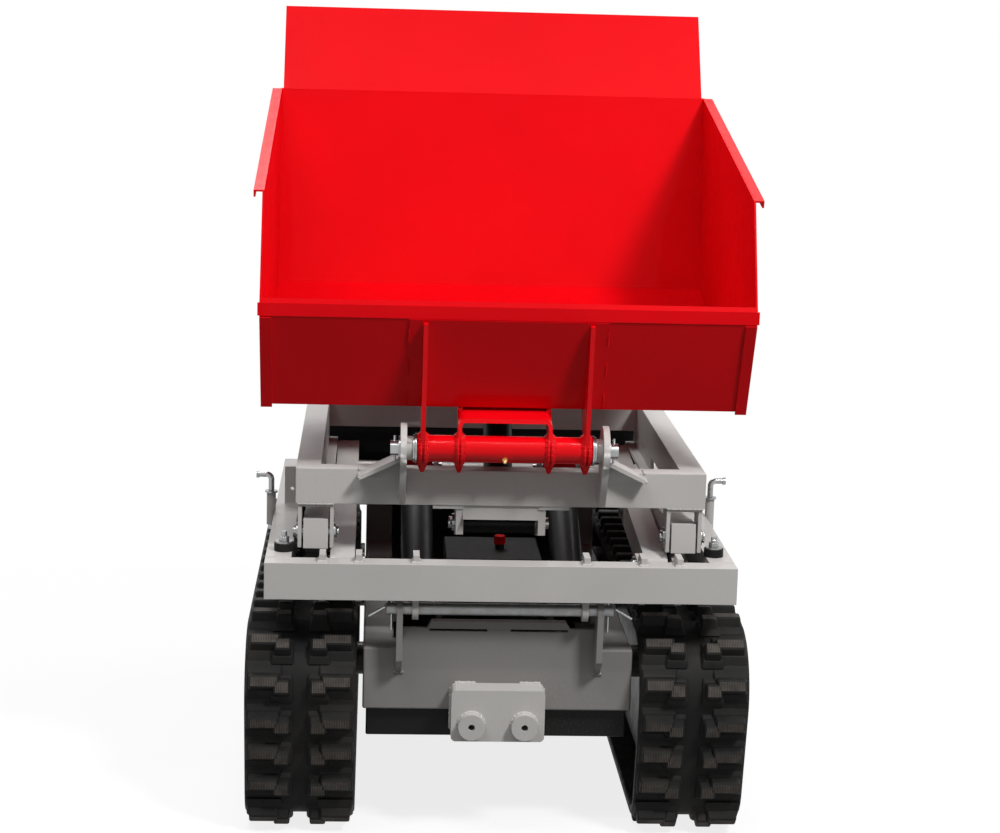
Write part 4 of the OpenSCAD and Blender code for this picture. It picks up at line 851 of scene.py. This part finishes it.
class CARRIER_OT_stage(bpy.types.Operator):
    """Pale floor, soft studio lights and the camera"""

    bl_idname = "carrier.stage"
    bl_label = "Stage"

    def execute(self, context):
        scene = context.scene
        view = scene.carrier_view
        self.lay_floor(scene)
        self.hang_lamps(scene, view)
        self.light_room(scene, view.ambient)
        self.set_camera(scene, view)
        scene.view_settings.view_transform = "Standard"
        return {"FINISHED"}

    def lay_floor(self, scene):
        bm = bmesh.new()
        bmesh.ops.create_grid(bm, x_segments=1, y_segments=1, size=30)
        mesh = bpy.data.meshes.new("floor")
        bm.to_mesh(mesh)
        bm.free()
        mesh.materials.append(self.pale_floor(tuple(scene.carrier_colours.floor)))
        floor = bpy.data.objects.new("floor", mesh)
        scene.collection.objects.link(floor)

    @staticmethod
    def hang_lamps(scene, view):
        """Area lamps with their place, width, depth and power, all aimed at the lift."""
        lamps = (
            ("key", (2.1, -3.2, 4.1), 0.8, 0.8, view.key),
            ("fill", (-1.8, -2.4, 4.6), 2.0, 2.0, view.fill),
            ("strip", (0.0, -2.2, 4.2), 3.6, 0.12, view.strip),
            ("rear", (-0.8, 2.8, 4.6), 2.0, 2.0, view.key * 0.8),
            ("flank", (3.4, 1.6, 3.4), 2.0, 2.0, view.fill))
        aim = Vector((0, -0.5, 0.6))
        for name, place, wide, deep, power in lamps:
            lamp = bpy.data.lights.new(name, "AREA")
            lamp.shape = "RECTANGLE"
            lamp.size, lamp.size_y, lamp.energy = wide, deep, power
            light = bpy.data.objects.new(name, lamp)
            light.location = place
            light.rotation_euler = (aim - Vector(place)).to_track_quat("-Z", "Y").to_euler()
            scene.collection.objects.link(light)

    def light_room(self, scene, ambient):
        """A room that is seen white and throws a little even light."""
        world = bpy.data.worlds.new("studio")
        world.use_nodes = True
        tree = world.node_tree
        back = tree.nodes["Background"]
        back.inputs["Color"].default_value = (1, 1, 1, 1)
        strength = between(tree, self.shown(tree), 0, 1, ambient, 1.0)
        tree.links.new(strength, back.inputs["Strength"])
        scene.world = world

    @staticmethod
    def set_camera(scene, view):
        yaw, pitch, roll = view.turn
        heading = Vector((math.sin(yaw), math.cos(yaw), 0))
        ahead = math.cos(pitch) * heading - Vector((0, 0, math.sin(pitch)))
        level = Vector((math.cos(yaw), -math.sin(yaw), 0))
        down = ahead.cross(level)
        right = math.cos(roll) * level + math.sin(roll) * down
        up = math.sin(roll) * level - math.cos(roll) * down
        camera = bpy.data.objects.new("camera", bpy.data.cameras.new("camera"))
        camera.data.lens = view.lens
        camera.data.sensor_width = 36
        camera.data.sensor_fit = "HORIZONTAL"
        camera.data.clip_start, camera.data.clip_end = 0.05, 100
        turn = Matrix((right, up, -ahead)).transposed().to_4x4()
        camera.matrix_world = Matrix.Translation(view.place) @ turn
        scene.collection.objects.link(camera)
        scene.camera = camera

    @staticmethod
    def shown(tree):
        """1 for rays that show the background: from the camera, in gloss and through glass."""
        rays = tree.nodes.new("ShaderNodeLightPath").outputs
        gloss = calculated(tree, "MAXIMUM", rays["Is Glossy Ray"], rays["Is Transmission Ray"])
        return calculated(tree, "MAXIMUM", rays["Is Camera Ray"], gloss)

    def pale_floor(self, colour):
        """Floor seen white, with the machine's soft shadow near it, that throws little light back."""
        material, tree, shader, coords = started("pale floor")
        shown = self.shown(tree)
        away = tree.nodes.new("ShaderNodeVectorMath")
        away.operation = "LENGTH"
        tree.links.new(coords, away.inputs[0])
        far = between(tree, away.outputs["Value"], 0.9, 2.2, 0.82, 1.0)
        glow = tree.nodes.new("ShaderNodeEmission")
        mixed = tree.nodes.new("ShaderNodeMixShader")
        tree.links.new(calculated(tree, "MULTIPLY", shown, far), mixed.inputs["Fac"])
        tree.links.new(shader.outputs["BSDF"], mixed.inputs[1])
        tree.links.new(glow.outputs["Emission"], mixed.inputs[2])
        tree.links.new(mixed.outputs["Shader"], tree.nodes["Material Output"].inputs["Surface"])
        tree.links.new(blended(tree, shown, scaled(colour, 0.18), colour), shader.inputs["Base Color"])
        shader.inputs["Roughness"].default_value = 0.9
        shader.inputs["Specular IOR Level"].default_value = 0.1
        return material


class CARRIER_PT_panel(bpy.types.Panel):
    """Lists the steps that dress the carrier"""

    bl_label = "Tracked Power Carrier"
    bl_idname = "CARRIER_PT_panel"
    bl_space_type = "VIEW_3D"
    bl_region_type = "UI"
    bl_category = "Carrier"

    def draw(self, context):
        for step in STEPS:
            self.layout.operator(step.bl_idname)
        scene = context.scene
        for group in (scene.carrier_colours, scene.carrier_sizes, scene.carrier_view):
            box = self.layout.box()
            for name in group.__annotations__:
                box.prop(group, name)


STEPS = (
    CARRIER_OT_finishes, CARRIER_OT_frames, CARRIER_OT_skip, CARRIER_OT_tracks,
    CARRIER_OT_running_gear, CARRIER_OT_pins, CARRIER_OT_engine, CARRIER_OT_welds,
    CARRIER_OT_hinge_fittings, CARRIER_OT_stage)
GROUPS = (CarrierColours, CarrierSizes, CarrierView)


def register():
    for c in GROUPS + STEPS + (CARRIER_PT_panel,):
        bpy.utils.register_class(c)
    bpy.types.Scene.carrier_colours = PointerProperty(type=CarrierColours)
    bpy.types.Scene.carrier_sizes = PointerProperty(type=CarrierSizes)
    bpy.types.Scene.carrier_view = PointerProperty(type=CarrierView)


def unregister():
    del bpy.types.Scene.carrier_view
    del bpy.types.Scene.carrier_sizes
    del bpy.types.Scene.carrier_colours
    for c in reversed(GROUPS + STEPS + (CARRIER_PT_panel,)):
        bpy.utils.unregister_class(c)


def main():
    register()
    bpy.ops.carrier.finishes()
    bpy.ops.carrier.frames()
    bpy.ops.carrier.skip()
    bpy.ops.carrier.tracks()
    bpy.ops.carrier.running_gear()
    bpy.ops.carrier.pins()
    bpy.ops.carrier.engine()
    bpy.ops.carrier.welds()
    bpy.ops.carrier.hinge_fittings()
    bpy.ops.carrier.stage()


if __name__ == "__main__":
    main()
